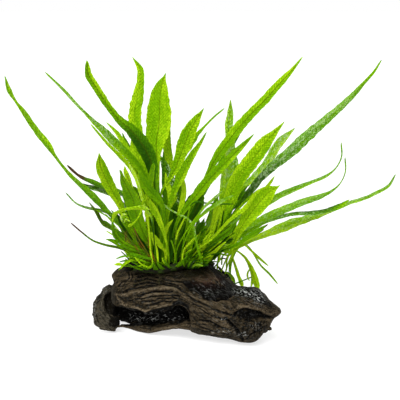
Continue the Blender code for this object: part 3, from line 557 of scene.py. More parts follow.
leafLooks = {
    "far_left": dict(tints=[0,0.30, 0.25,0.42, 0.40,0.54, 0.52,0.76, 1,0.76], rib=0.2, wet=0.10, wave=0.8,
            widths=[0,1.2, 0.25,1.25, 0.32,0.85, 0.42,1.25, 0.60,1.0, 0.66,0.72, 0.85,0.80, 0.93,1.0,
            1,1.2], shift=(-0.4, 0)),
    "left_arching": dict(tint=0.68, rib=0.2, wet=0.7, wetFrom=0.58, wetTo=0.92, wave=0.8, shift=(0.1, 0.1),
            widths=[0,1, 0.3,0.9, 0.5,0.88, 0.75,0.9, 1,0.9]),
    "left_thin": dict(tint=0.92, rib=0.1, wave=0.6, shift=(0.1, 0.2), widths=[0,1, 0.4,0.75, 0.7,0.9, 1,1]),
    "left_short_back": dict(tint=0.9, rib=0.2, shift=(0.3, -0.3), widths=[0,1, 1,0.85]),
    "left_dark_broad": dict(tints=[0,0.08, 0.45,0.10, 0.60,0.22, 0.68,0.46, 0.77,0.70, 1,0.80], rib=0.8,
            split=0.12, shift=(0, -0.2), widths=[0,1, 0.45,1.15, 0.60,1.2, 0.72,0.88, 0.93,1.1, 1,2.6]),
    "left_bright": dict(tint=0.88, rib=0.7, wave=0.5, shift=(-0.3, 0), widths=[0,1, 0.42,0.95, 0.56,0.80,
            0.7,0.97, 0.9,1.06, 1,1.6]),
    "left_dark_low": dict(tint=0.62, tipTint=0.06, rib=0.8, wave=0.7, shift=(0, 0), widths=[0,1, 0.85,1.1,
            1,1.5]),
    "left_yellow": dict(tint=1.55, rib=1.0),
    "left_strip_upper": dict(tint=0.34, rib=0.2, wet=0.5, wetTo=0.6, deadTip=0.020, dead=0.12, widths=[0,1,
            0.6,1.1, 1,1.5]),
    "left_strip_pale": dict(tint=0.34, rib=0.1, wet=1.0, wetFrom=0.35),
    "left_thread": dict(tint=0.50, wet=0.7, wetFrom=0.3),
    "left_olive": dict(tint=0.42, rib=0.3, dead=0.42),
    "left_brown_thread": dict(tint=0.50, dead=0.40, deadTip=0.016),
    "left_low_curl": dict(tint=0.62, rib=0.5, widths=[0,0.8, 1,0.9]),
    "left_loop": dict(tints=[0,0.05, 0.5,0.1, 0.6,0.95, 1,1.05], wet=0.6, wetFrom=0.56, wetTo=0.64,
            shift=(-0.6, 0), widths=[0,0.2, 0.50,0.2, 0.55,0.7, 0.65,1.05, 1,1]),
    "middle_wavy": dict(tint=0.88, rib=0.35, wave=1.2, shift=(0.1, 0), widths=[0,1, 0.4,1.08, 0.66,1.08,
            0.78,1.22, 1,1.3]),
    "middle_broad": dict(tint=0.84, rib=0.75, wave=0.5, shift=(0.4, 0), widths=[0,1, 0.5,1.04, 0.85,1.14,
            1,1.2]),
    "middle_bright": dict(tint=0.98, rib=0.3),
    "middle_leaning": dict(tint=0.84, rib=0.7, wave=0.8, shift=(1.2, 0.1), widths=[0,1, 0.6,0.92, 0.85,0.94,
            1,1.1]),
    "middle_thin": dict(tint=0.72, rib=0.2, widths=[0,0.8, 0.6,0.9, 1,1]),
    "middle_narrow": dict(tint=0.80, rib=0.4, wave=0.8, shift=(0.9, 0), widths=[0,1, 0.6,0.78, 1,0.78]),
    "centre_short": dict(tint=0.62, rib=0.3),
    "centre_narrow": dict(tint=0.72, rib=0.1),
    "centre_thread": dict(tint=0.62, rib=0.1),
    "centre_bright": dict(tint=0.95, rib=0.2),
    "right_upright": dict(tint=0.84, rib=0.4, wet=0.7, wetFrom=0.45, wave=0.8, widths=[0,1, 0.8,1.05,
            1,1.7]),
    "right_upright_back": dict(tint=0.72, rib=0.9, wet=0.3),
    "right_long_inner": dict(tint=0.60, tipTint=0.26, rib=0.9, wave=0.6, shift=(-0.2, -0.2), widths=[0,0.95,
            0.5,0.88, 0.7,0.83, 1,0.80]),
    "right_middle": dict(tint=0.56, tipTint=0.20, rib=0.8, wave=0.5, shift=(0, 0.1), widths=[0,0.72,
            0.4,0.70, 0.7,0.78, 1,0.85]),
    "right_broad": dict(tint=0.86, rib=0.5, wave=0.7, shift=(0.1, 0.1), widths=[0,1, 0.6,0.85, 1,0.66]),
    "right_pale": dict(tint=0.88, rib=0.1, wet=0.9, wetFrom=0.55, shift=(0.9, 0), widths=[0,1, 0.6,1.0,
            0.9,1.2, 1,1.5]),
    "far_right": dict(tints=[0,0.34, 0.22,0.30, 0.30,0.12, 0.38,0.16, 0.48,0.44, 0.7,0.58, 1,0.72], rib=0.3,
            wet=0.6, wetFrom=0.30, wetTo=0.86, wave=0.9, shift=(-0.1, -0.1), widths=[0,0.72, 0.25,0.64,
            0.42,0.74, 0.55,0.90, 0.8,0.86, 1,1.0]),
    "right_curled": dict(tint=0.68, rib=0.2, wet=0.4, wave=0.6, shift=(0.3, 0.8), widths=[0,1, 0.5,1.0,
            1,1]),
    "right_curled_low": dict(tint=0.68, rib=0.2, wet=0.4, wave=0.9, shift=(0.1, 0.5), widths=[0,0.85,
            0.45,0.85, 0.6,1, 1,1]),
    # its foot's tint is raised to light a part that faces away from the lamps: painted light
    "far_right_low": dict(tints=[0,1.35, 0.22,1.25, 0.38,0.95, 0.6,0.86, 0.8,0.70, 1,0.66], rib=0.3,
            wet=0.5, wetFrom=0.2, wave=1.1, shift=(0, -0.6), widths=[0,0.95, 0.5,0.85, 0.8,1.05, 1,1]),
    "right_dark_strip": dict(tints=[0,0.72, 0.50,0.64, 0.60,0.36, 0.88,0.28, 0.95,0.62, 1,0.90], rib=0.2,
            wet=0.5, wetFrom=0.5, wetTo=0.86, shift=(0.3, 1.8), widths=[0,1, 0.36,1.0, 0.45,0.5, 0.56,0.5,
            0.64,1.4, 0.75,1.5, 0.9,1.2, 1,1]),
    "right_short_broad": dict(tint=0.92, split=0.03, rib=0.6, wave=0.5),
    "right_short_narrow": dict(tint=1.0, rib=0.2),
    "right_dark_behind": dict(tint=0.14, rib=0.6, shift=(0.2, 0), widths=[0,1, 0.6,1.15, 0.95,1.15, 1,4]),
    "right_parallel_upper": dict(tint=0.80, wet=0.8, wetFrom=0.7, widths=[0,0.4, 0.55,0.32, 0.75,0.5,
            1,0.7]),
    "right_parallel_lower": dict(tint=0.70, wet=0.4, wetFrom=0.7, widths=[0,0.4, 0.5,0.36, 0.7,0.7, 1,1]),
    "right_dark_low": dict(tint=0.44, rib=0.9, widths=[0,0.7, 0.5,0.5, 1,0.55]),
    "right_brown_tip": dict(tint=0.55, deadTip=0.003, dead=0.06),
    # tint raised past the top of the ramp, to light these leaves that hang face down in shade: painted light
    "hanging_long": dict(tint=1.5, rib=0.5, shift=(-1.2, 0), widths=[0,0.9, 0.5,0.9, 0.8,1.05, 1,1.05]),
    "hanging_short": dict(tint=1.5, rib=0.4, shift=(-1, 0), widths=[0,0.9, 1,0.9]),
    "hanging_spray": dict(tint=1.0, shift=(0.7, -0.7)),
    "hanging_thread": dict(tint=0.85, deads=[0,0, 0.36,0, 0.41,0.8, 0.54,0.8, 0.60,0, 1,0]),
    "back_left": dict(tint=0.42, shift=(6, 0)),
    "back_middle": dict(tint=0.40, shift=(6, 0), widths=[0,1, 1,0.7]),
    "back_right": dict(tint=0.38, shift=(-7, 3), widths=[0,1, 0.5,0.9, 1,0.6]),
    "back_low_left": dict(tint=0.34, shift=(9, 0)),
    "back_low_right": dict(tint=0.34),
    "back_centre": dict(tint=0.44, shift=(-5, 2), widths=[0,1, 1,0.6]),
}


def makeLeaves(material):
    # a blade along each leaf solid, in its place
    roots = np.concatenate([nodeTriangles(n)[0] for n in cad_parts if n.startswith("rhizome")])
    for seed, (key, look) in enumerate(leafLooks.items()):
        tube = bladeTube(*leafRings("leaf_" + key, roots), look, seed + 11)
        addTubes("fern_" + key, [tube], material, ["leaf_" + key])
    print("leaves made:", len(leafLooks))


# Small leaves. Each is read off the photograph from foot to tip as column,row,width in pixels, and has its
# depth in millimetres at the foot and at the tip, its tint, and what else its look has

smallLook = {"rib": 0.15, "wave": 0.6, "across": 9, "step": 0.0013}

# a tint under 0 gives the deepest green: such leaves fill dark gaps of the heart as painted shade
smallLeaves = [
    ([174,258,3, 175,238,7, 176.5,218,10, 178,202,9.5, 180.5,183,1], 8, 14, 0.24, {"rib": 0.3}),
    ([172,255,3, 171,236,5, 170,220,6, 169.5,206,5, 170,194,1], 6, 6, 0.31),
    ([188,258,3, 194,243,8, 199,231,9, 202.5,224,6, 204,219,1], 6, 10, 0.29, {"rib": 0.4}),
    ([178,216,3, 182,203,5.6, 184,190,5.2, 182.6,178,2], -22, -26, 1.30),
    ([167,213,2, 171.6,205,2.8, 176.4,198,1.6], -10, -12, 1.11),
    ([178,205,4, 172,184,9, 166.5,170,9.5, 161,157,2], 12, 16, 0.39, {"wet": 1.0}),
    ([138,205.6,2, 142,207.6,5, 146,208.6,4, 149,209.4,1], -42, -42, 1.18, {"stalk": False, "wet": 0.5,
         "turn": 0}),
    ([147,192,2, 145.6,198,3.4, 142,204,3.4, 141,212,2, 138,218,1.6, 134,222.6,1.6, 129,226,2.6], -42, -40,
         0.96, {"stalk": False}),
    ([153,264,1.6, 150.8,252,1.9, 149.6,236,1.9, 148,222,1.9, 146,211,2.4], -20, -44, 1.18),
    ([196,255,3, 201,241,4, 204,232,4, 206.5,224,1], 2, 2, 0.61),
    ([154,245,3, 150,218,5, 146,202,5, 142,187,1], 8, 12, 0.21),
    ([158,260,3, 157,240,4.5, 156,226,4.5, 156,214,1], 6, 6, 0.24),
    ([166,225,4, 166,205,6, 164.5,180,6, 163.4,153,1], 10, 14, 0.36),
    ([142,252,3, 134,237,4.5, 126,223,4.5, 118,211,1], 2, -2, 0.29),
    ([140,246,3, 134,231,4, 130,220,4, 126,209,1], 4, 2, 0.36),
    ([146,250,3, 141,237,3.5, 139,227,1], 6, 6, 0.24),
    ([129,190,2, 127.6,180,3, 125.4,173,3.6, 124.8,167.6,2], -8, -10, 1.70),
    ([133,192,2, 131,184,2.6, 128.8,176,2.4, 127,171,1], -9, -11, 1.70),
    ([144.6,207,2.4, 141.4,197,3.2, 137.8,184,3.4, 134,174,3.2, 129,165,1.5], -20, -8, 1.11, {"wet": 0.5}),
    ([125.4,188,3.4, 122.6,179,3.4, 120,171,1], 4, 4, 0.49),
    ([132,214,3, 127,204,4.5, 123,197,1], 4, 4, 0.42),
    ([232,216,2, 240,207,2.6, 249,198,2.4, 258,190,0.8], -4, -6, 0.86),
    ([232,244,3, 234,232,4, 236.5,219,1], 6, 6, 0.41),
    ([222,226,3, 227,219,4, 232.5,210,1], 6, 6, 0.49),
    ([212,208,3, 215,202,4, 218.6,195,1], 6, 6, 0.56),
    ([238,200,2, 242,193,3, 247.5,186,1], 6, 8, 0.31),
    ([248,240,2.5, 256,234,3, 263,230,0.8], 6, 8, 0.29, {"wet": 0.3}),
    ([140,240,3, 130,231,3, 119,219,3.4, 112,211,1], -2, -6, 0.56),
    ([136,246,3, 126,238,3, 118,232.5,3, 112,229,1], -4, -8, 0.49),
    ([130,248,2, 120,243,2.4, 113,240,2, 107,239.4,1], -6, -8, 0.42),
    ([130,236,2, 123,228,1.8, 118,225,1.5, 112,220,1.5, 105,215,1.4, 98,211,0.7], -6, -12, 0.74),
    ([124,249,3, 118,245,3.2, 112,241.5,2.4, 108,240,0.8], -8, -12, 0.64),
    ([135,260,1.2, 128,256,1.6, 122,256.6,2, 117,258.5,0.8], -20, -22, 0.61),
    ([134,263,1.2, 128,260.4,1.8, 123,261,1.6, 120.6,261.6,0.8], -20, -22, 0.42),
    ([124,266,1.2, 121,264.6,2.6, 118,264.2,3.4, 115.4,264.6,1.6], -20, -22, 1.18),
    ([138,261,1.4, 131,260.4,2.4, 125.6,263,3, 119.6,269,1], -20, -23, 0.86),
    ([152,264,1.5, 151,267,2.4, 148,267.6,2.6, 145,265.5,0.8], -20, -24, 0.86),
    ([166,264,1.5, 164.4,261.4,3.5, 162.6,258.6,1.6], -20, -24, 1.11),
    ([146,262,1.2, 143,264.6,1.8, 139.6,266,0.8], -20, -24, 0.86),
    ([202,262,2.2, 199,252,2.4, 196,240,2.2, 193,226,2.2, 188,219,2, 178,214,1.8, 168,208,1.8,
         162,203.5,2.4, 156,197.5,4, 150.5,191,6, 145.5,184,7.2, 141.6,177,6.4, 139.6,172.6,3], -32, -54,
         0.76, {"wet": 0.9, "wetFrom": 0.22, "wetTo": 0.62, "turn": 8}),
    ([166,262,2, 165,250,4, 160,245,5, 155,238,5, 152,233,0.8], -14, -32, 1.18),
    ([163,232,1.5, 159,221,4, 154,210,6.6, 149.5,202,6, 146.6,196.6,2], -30, -42, 1.09, {"rib": 0.4}),
    ([156,204,3, 151.6,192,5, 150.6,182,5.4, 151.8,172,4.4, 153.4,164.6,2.6], -26, -38, 0.79, {"turn": 5}),
    ([160,214,3, 158.6,198,3.6, 157.4,184,3.6, 156.8,175,1], -22, -26, 0.36),
    ([152,257,1.8, 143,252,3.6, 131,247.6,4.6, 121,242,4.8, 114.6,233,4.0, 112.4,223,2], -16, -34, 0.51,
         {"rib": 0.9, "turn": 10}),
    ([132,240,3, 127,230,6, 121,221,5, 117,214,1], -10, -14, -0.39),
    ([152,262,3, 146,250,5, 138,238,6, 131,228,1], -4, -4, -0.26),
    ([122.4,222,1.4, 121.2,217.4,2.6, 122.8,214.4,2.6, 126,214.4,1.4], -26, -30, 1.05, {"wet": 0.8}),
    ([124,223,1.4, 126,219.6,2.8, 129,220.8,2.0], -26, -30, 0.99, {"wet": 0.6}),
    ([123,218,1.2, 125,216.4,2.0, 127.6,217.6,1.2], -28, -30, 0.86),
    ([152,259,2, 144,257.4,3, 136,255.2,3.4, 130,254,2.4, 127,254.4,1.4], -22, -30, 0.49),
    ([146,262,1.4, 138,259,1.8, 131,256,1.6, 127,257,1], -24, -26, 0.80),
    ([145,267,1.4, 140,263,1.4, 136,258.6,1], -22, -26, 0.99),
    ([141,212,3, 141.4,203,4, 140,194,3, 138.6,186,1], 0, 0, -0.51),
    ([206,258,2, 215,248,2.6, 224,240,2.6, 234,233,0.8], -16, -22, 0.29, {"rib": 0.9}),
    ([203,257,2, 211,247,2.6, 219,238,2.6, 228,229,0.8], -14, -18, 0.49, {"rib": 0.9}),
    ([209,261,2, 219,252,2, 229,245,2, 240,240,0.8], -18, -24, 1.05),
    ([219,262,1.6, 221,253,1.8, 226,247,2.2, 231,243,2.4, 233.4,236,1], -10, -14, 1.18),
    ([207,254,1.6, 210,245,3, 211.6,234,5, 214.6,220,6, 218.6,206,4], -2, 0, 1.24, {"rib": 0.3}),
    ([232,236,2, 246,214,4, 256,200,4, 264,190,3, 270,183,3, 274,177,0.8], -10, -34, 1.11),
    ([221.4,240,2, 221.6,226,1.6, 224,210,1.6, 228.6,191,1.2], -12, -14, 0.01),
    ([196,258,1.6, 205,250,1.8, 214,245,1.6, 222,241,0.8], -20, -24, 1.24),
    ([200,262,1.6, 210,256,1.8, 220,250,1.6, 228,245,0.8], -18, -22, 1.18),
    ([192,252,1.6, 194,244,1.8, 199,236,1.8, 205,229,0.8], -18, -22, 0.11),
    ([188,262,2, 190,250,6, 191,239,9, 191,229,8, 187.4,222,2], -12, -16, 0.69, {"turn": 10}),
    ([164,240,2, 165.6,231,3.4, 168.6,224.6,3.4, 172.4,220.4,0.8], -22, -28, 1.30),
    ([168,216,2, 170,203,4.4, 169.6,192,5.4, 167,182,5, 165.6,174,0.8], -18, -24, 1.30),
    ([176,262,2, 180,246,5, 186,230,6, 194,214,6.6, 200,201,3], -8, -12, 0.01, {"rib": 0.6, "turn": 0}),
    ([170,262,2, 172,246,4.4, 173,230,4.6, 176,214,0.8], -10, -16, 0.04),
    ([160,262,2, 158,246,4, 154,230,4, 152,218,0.8], -10, -16, 0.01),
    ([205,262,2, 214,250,4, 224,243,4, 236,238,0.8], -12, -18, 0.04),
    ([200,262,2, 209,250,3, 218,240,3, 227,232,0.8], -14, -20, 0.94),
    ([233,186,3, 235.6,172,5, 236.2,162,4.4, 235.4,154,1], 2, 4, 0.64, {"wet": 0.6}),
    ([166,250,1.8, 166,235,2.2, 168,227,2.4, 172,221,0.8], -14, -34, 1.24),
    ([176,240,1.6, 178,232,2.2, 181.4,225,2.2, 184.6,218,0.8], -22, -30, 1.36),
    ([158,262,1.8, 156.6,250,2.6, 153,240,2.6, 150.4,233,0.8], -22, -30, 1.30),
    ([182,262,1.8, 184,250,2.2, 190,243,2.4, 197,236,0.8], -20, -28, 1.30),
    ([196,260,1.8, 201,246,2.6, 206,238,2.6, 211,232,0.8], -18, -22, 1.24),
    ([190,206,1.4, 195,202,1.6, 205,203,1.6, 220,204,1.6, 232,204,0.8], -40, -44, 0.19),
    ([252,270,1.6, 252.6,277,3, 252,283,3, 251,287,0.8], 12, 14, 1.11, {"stalk": False}),
    ([218,270,2, 222,273.4,3, 227,272.8,4.0, 231,276,4.6, 233.5,281,4.2, 234,285,1], 16, 24, 0.92,
         {"turn": 30}),
    ([251.8,267,1.2, 248,272,2, 247.4,276,2, 249,280,1], 12, 14, 1.05, {"stalk": False}),
    ([234,284,1.4, 242,281,1.3, 248,278.5,1.3, 254,276,0.8], 12, 16, 0.49),
    ([217,270,1.8, 218,261,1.8, 219,252,1.8, 222,244,1.6, 226,238,1.4], 6, -2, 1.24),
    ([221,272,1.6, 225,262,1.6, 230,252,1.6, 236,245,1.4], 8, 2, 1.30),
    ([225,274,1.6, 228,264,1.6, 232,255,1.6, 238,247,1.4], 8, 4, 1.36),
    ([214,268,1.6, 220,260,1.4, 228,250,1.4, 236,243,1.2], 4, 0, 0.86),
    ([219,258.8,1.2, 222,258.4,1.6, 225,258.6,0.9], 4, 4, -0.01, {"stalk": False, "dead": 0.7}),
]

smallStalk = {
    "half": 0.00035,
    "bow": 0.004,  # metres that it bends away from the camera
    "lean": 0.45,  # how far out from the middle it starts, to how far out the leaf's foot is
    "left": 0.014,  # metres to the left of that
    "look": {"tint": 0.75, "across": 5, "step": 0.004},
}

# young leaves and bare stalks that fill the plant's heart: how many, the columns of their feet, length and
# width in millimetres, tint, lean to the viewer and lean to the side. Some kinds have a share of their own
# that stands in front, or stand so many millimetres behind
sprouts = {
    "young": {"count": 130, "columns": (131, 214), "length": (14, 46), "width": (1.6, 4.0),
        "tint": (0.15, 1.05), "near": 0.0, "side": 0.75},
    "stalks": {"count": 110, "columns": (131, 222), "length": (30, 68), "width": (1.0, 1.6),
        "tint": (0.35, 1.20), "near": -0.1, "side": 0.85},
    # broad leaves behind the others, tinted dark as painted shade
    "backing": {"count": 90, "columns": (134, 216), "length": (34, 62), "width": (4.0, 8.0),
        "tint": (0.16, 0.50), "near": -0.2, "side": 0.55, "behind": 14},
    "blades": {"count": 110, "columns": (136, 204), "length": (26, 56), "width": (1.4, 3.0),
        "tint": (0.95, 1.40), "near": 0.24, "side": 0.75},
    # near-black sprouts that stand in for the shade between the others: painted shade
    "shadows": {"count": 60, "columns": (136, 214), "length": (22, 46), "width": (2.0, 4.0),
        "tint": (-0.10, 0.14), "near": 0.0, "side": 0.7},
    "wisps": {"count": 320, "columns": (138, 205), "length": (16, 42), "width": (0.9, 2.4),
        "tint": (-0.25, 1.00), "near": 1.20, "side": 0.85, "front": 1.0},
    "threads": {"count": 200, "columns": (138, 200), "length": (28, 62), "width": (0.8, 2.0),
        "tint": (-0.10, 1.15), "near": 0.40, "side": 0.9, "front": 1.0},
    "leaflets": {"count": 90, "columns": (127, 222), "length": (4, 13), "width": (1.2, 3.0),
        "tint": (0.25, 1.05), "near": 0.25, "side": 0.4},
}

sproutShape = {
    "border": [
        116,268, 124,256, 112,243, 101,217, 120,206, 126,184, 140,168, 160,160, 175,172, 185,198, 199,212,
        201,226, 207,233, 209,222, 211,206, 222,197, 236,206, 247,224, 240,238, 226,250, 208,262, 208,269,
    ],  # the plant's heart, which a sprout stays inside
    "lowest": 269,  # the row that no foot is under
    "front": 0.62,  # share that stands in front
    "frontDepth": (-3, -13),  # millimetres, at the left and the right
    "backDepth": (16, 6),
    "scatter": 2.2,  # millimetres
    "middle": 170,  # the column that they fan out from
    "fan": 42,  # the column's offset that leans by one
    "lift": 0.0008,  # metres from the wood
    "bare": 0.06,  # the foot's height where there is no wood
    "shorter": 0.25,  # how much shorter they are at a lean of one
    "lean": (0.05, 0.75),  # towards the viewer, or away
    "stray": 0.16,  # how much they differ in leaning to the side
    "bend": (0.5, 0.3, 0.7),  # by the lean, by chance, and by the lean to the viewer
    "droop": (-0.5, 0.1),
    "turn": 1.0,  # radians about the midline, either way
    "swell": (0.35, 0.1),
    "damp": (0.2, 0.3),  # the share that is wet with a painted pale sheen, and how wet
    # the sprouts' feet get a strong painted shade
    "look": {"rib": 0.1, "wave": 0.6, "across": 7, "step": 0.0020, "shaded": 0.55},
}


def stalkTo(foot, rhizomes, seed):
    # a leaf that begins in the air has a stalk from the rhizome: start + t·(foot - start) + bow·4t(1 - t)
    offset = rhizomes - [foot[0] * smallStalk["lean"] - smallStalk["left"], foot[1], 0]
    start = rhizomes[np.argmin(np.hypot(offset[:, 0], offset[:, 1] * 0.5))]
    t = np.linspace(0, 1, 6)[:, None]
    centres = start + t * (foot - start) + 4 * t * (1 - t) * [0, smallStalk["bow"], 0]
    halves = np.full(6, smallStalk["half"])
    return bladeTube(centres, np.tile([1.0, 0, 0], (6, 1)), halves, smallStalk["look"], seed + 901)


def readLeaf(seen, near, far, look, seed):
    # a small leaf through its seen points, turned about its midline by its own angle
    columns, rows, widths = grouped(seen, 3).T
    share = np.linspace(0, 1, len(columns)) ** 1.2
    centres = seenAt(columns, rows, (near + (far - near) * share) / 1000)
    run = unit(np.gradient(centres, axis=0))
    flatSide = unit(np.cross(run, [0, -1, 0]))
    turn = math.radians(look.get("turn", 25 * math.sin(seed * 2.4)))
    side = math.cos(turn) * flatSide + math.sin(turn) * np.cross(run, flatSide)
    return bladeTube(centres, side, widths * view["pixel"] / 2, smallLook | look, seed + 301)


def swelling(t, foot, start):
    # a leaf's width from its foot to its tip: foot + (1 - foot)·sin(π·(start + (1 - start)·t))^0.8
    return foot + (1 - foot) * np.sin(np.pi * np.clip(start + (1 - start) * t, 0, 1)) ** 0.8


def sproutTubes(kind, wood, seed):
    # foot + length·(t·start + 0.35·t²·bend), from the rhizomes outward like a fan
    rng = np.random.default_rng(seed)
    s = sproutShape
    tubes = []
    for i in range(kind["count"]):
        share = (i + rng.uniform(0, 1)) / kind["count"]
        column = kind["columns"][0] + share * (kind["columns"][1] - kind["columns"][0])
        front = rng.uniform() < kind.get("front", s["front"]) and "behind" not in kind
        left, right = s["frontDepth"] if front else s["backDepth"]
        depth = left + (right - left) * share + rng.normal(0, s["scatter"]) + kind.get("behind", 0)
        x = (column - midPixel) * view["pixel"]
        foot = np.array([x, depth / 1000, topOf(wood, x, depth / 1000, s["bare"]) + s["lift"]])
        fan = (column - s["middle"]) / s["fan"]
        length = rng.uniform(*kind["length"]) / 1000 * (1 - s["shorter"] * abs(fan))
        toward = (-1 if front else 0.8) * rng.uniform(*s["lean"]) - kind["near"]
        start = unit(np.array([fan * kind["side"] + rng.normal(0, s["stray"]), toward, 1.0]))
        across, chance, near = s["bend"]
        bend = np.array([fan * across + rng.normal(0, chance), toward * near, rng.uniform(*s["droop"])])
        t = np.linspace(0, 1, 7)[:, None]
        centres = foot + length * (t * start + 0.35 * t * t * bend)
        halves = rng.uniform(*kind["width"]) / 1000 / 2 * swelling(t[:, 0], *s["swell"])
        turn = rng.uniform(-s["turn"], s["turn"])
        columns, rows = pixelOf(centres)
        if rows[0] > s["lowest"] or insideOf(s["border"], 1.0, columns, rows).min() < 0.5:
            continue
        flatSide = unit(np.cross(start, [0, -1, 0]))
        side = np.tile(math.cos(turn) * flatSide + math.sin(turn) * np.cross(start, flatSide), (7, 1))
        tint, (often, wet) = rng.uniform(*kind["tint"]), s["damp"]
        look = s["look"] | {"tint": tint, "wet": wet * (rng.uniform() < often)}
        tubes.append(bladeTube(centres, side, halves, look, seed * 100 + i))
    return tubes


def makeSmallLeaves(material, wood, rhizomes):
    # the leaves that were read, each with a stalk where its foot is off the wood, and the sprouts
    tubes = []
    for k, (seen, near, far, tint, *more) in enumerate(smallLeaves):
        look = {"tint": tint} | (more[0] if more else {})
        tubes.append(readLeaf(seen, near, far, look, k))
        foot = tubes[-1][0][0].mean(0)
        if look.get("stalk", wood.find_nearest(Vector(foot))[3] > 0.006):
            tubes.append(stalkTo(foot, rhizomes, k))
    addTubes("small_leaves", tubes, material)
    for seed, (name, kind) in enumerate(sprouts.items()):
        addTubes("sprouts_" + name, sproutTubes(kind, wood, seed + 5), material)
    print("small leaves made:", len(smallLeaves) + sum(kind["count"] for kind in sprouts.values()))


# Old russet stems at the left of the heart, in pixels as the small leaves are

russetStems = {
    "lines": [  # each is repeated with small shifts
        [147,262,1.4, 139,252,1.3, 131,243,1.2, 127,236,1.0, 124,230,0.7],
        [149,262,1.4, 143,251,1.4, 137,240,1.3, 133,232,0.8],
        [152,262,1.4, 147,252,1.2, 141,243,1.2, 135,231,0.8],
        [154,263,1.3, 149,255,1.2, 142,243,0.8],
        [150,262,1.3, 140,253,1.2, 132,247,1.2, 126,238,1.0, 128,231,0.7],
    ],
    "copies": 2,
    "spread": 4.5,  # pixels between copies
    "depth": (-16, -26),
    "slimness": 3.2,  # a line's width to the stem's radius
    "russet": (0.210, 0.075, 0.004),
    "olive": (0.085, 0.130, 0.003),
    "dark": (0.016, 0.008, 0.003),
}


def russetMaterial():
    # russet and olive in long patches, with dark spots
    s = Shader("oldStem")
    place = s.node("ShaderNodeTexCoord", {}, {}, "Object")
    age = s.noise(place, 90, 2, 0.6)
    spot = s.noise(place, 700, 2, 0.6)
    colour = s.blend(s.steps(age, 0.39, 0.56), russetStems["russet"], russetStems["olive"])
    colour = s.blend(s.steps(spot, 0.52, 0.66) * 0.8, colour, russetStems["dark"])
    return s.dull(colour, spot, 0.5, 0.5, 0.0003)


def makeRussetStems(material):
    # each copy of a line is moved by growth·(right, down), with growth from 0.3 to 1
    rng = np.random.default_rng(3)
    tubes = []
    for line in russetStems["lines"]:
        for copy in range(russetStems["copies"]):
            columns, rows, widths = grouped(line, 3).T
            right, down = rng.normal(0, russetStems["spread"], 2)
            grow = np.linspace(0.3, 1, len(rows))
            depth = np.linspace(*russetStems["depth"], len(rows)) + rng.normal(0, 3)
            path = seenAt(columns + right * grow, rows + down * grow, depth / 1000)
            tubes.append(roundTube(path, widths * view["pixel"] / russetStems["slimness"], 7, 0.0015, copy))
    addTubes("russet_stems", tubes, material)
    print("russet stems made:", len(tubes))


# The rhizomes, with the leaves that stand out level before they rise, as on the solids

rhizomeRuns = {
    # the columns between which each creeps, its depth at both ends and its radius in millimetres
    "rhizome_front": (133, 214, -3, -13, 3.4),
    "rhizome_back": (137, 212, 16, 6, 3.4),
    "rhizome_right": (217, 231, 7, 15, 1.1),
}
youngLeaves = {
    "rhizome_front": {"count": 10, "length": 30, "width": 5.5, "side": -1, "rise": 0.45},
    "rhizome_back": {"count": 9, "length": 42, "width": 6, "side": 1, "rise": 0.5},
}
rhizomePaint = {
    "bark": (0.006, 0.005, 0.002),
    "green": (0.018, 0.036, 0.002),
    "tip": (0.070, 0.110, 0.020),
    "roughness": 0.7,
}


def rhizomeMaterial():
    # bark with green patches and paler scales
    s = Shader("rhizomeBark")
    p = rhizomePaint
    place = s.node("ShaderNodeTexCoord", {}, {}, "Object")
    scales = s.noise(place, 900, 3, 0.6)
    broad = s.noise(place, 160, 2, 0.5)
    colour = s.blend(s.steps(broad, 0.40, 0.62), p["bark"], p["green"])
    colour = s.blend(s.steps(scales, 0.58, 0.75) * 0.6, colour, p["tip"])
    return s.dull(colour, scales, p["roughness"], 0.8, 0.0006)


def creepingPath(name, wood):
    # places on the wood's highest point nearby, with hollows bridged
    start, end, startDepth, endDepth, radius = rhizomeRuns[name]
    places = []
    for along in np.linspace(0, 1, 15):
        depth = (startDepth + along * (endDepth - startDepth)) / 1000 + 0.0022 * math.sin(9 * along + start)
        x = (start + along * (end - start) - midPixel) * view["pixel"] * (1 + depth / view["distance"])
        top = max(topOf(wood, x + dx, depth + dy, 0)
                  for dx in (-0.0025, 0, 0.0025) for dy in (-radius / 1000, 0, radius / 1000))
        places.append((x, depth, top + radius / 1000 + 0.0003))
    places = np.array(places)
    places[1:-1, 2] = np.maximum(places[1:-1, 2], (places[:-2, 2] + places[2:, 2]) / 2)
    return places


def roundTube(path, radii, around, step, seed, knobs=0.0):
    # circles across a smooth path: centre + radius·(cos a·side + sin a·over), knobs as noise on the radius
    given = distanceAlong(path)
    at = np.linspace(0, given[-1], max(4, int(given[-1] / step)))
    middle = smoothRows(given, path, at)
    radius = np.interp(at, given, radii)[:, None]
    run = unit(np.gradient(middle, at, axis=0))
    side = unit(np.cross(run, [0.13, 0.21, 1.0]))
    over = np.cross(side, run)
    a = np.linspace(0, 2 * np.pi, around, endpoint=False)
    circle = np.cos(a)[None, :, None] * side[:, None] + np.sin(a)[None, :, None] * over[:, None]
    if knobs:
        radius = radius * (1 + knobs * softNoise(middle[:, None] + circle * radius[..., None], 0.0022, seed))
    return middle[:, None] + circle * radius[..., None], {}


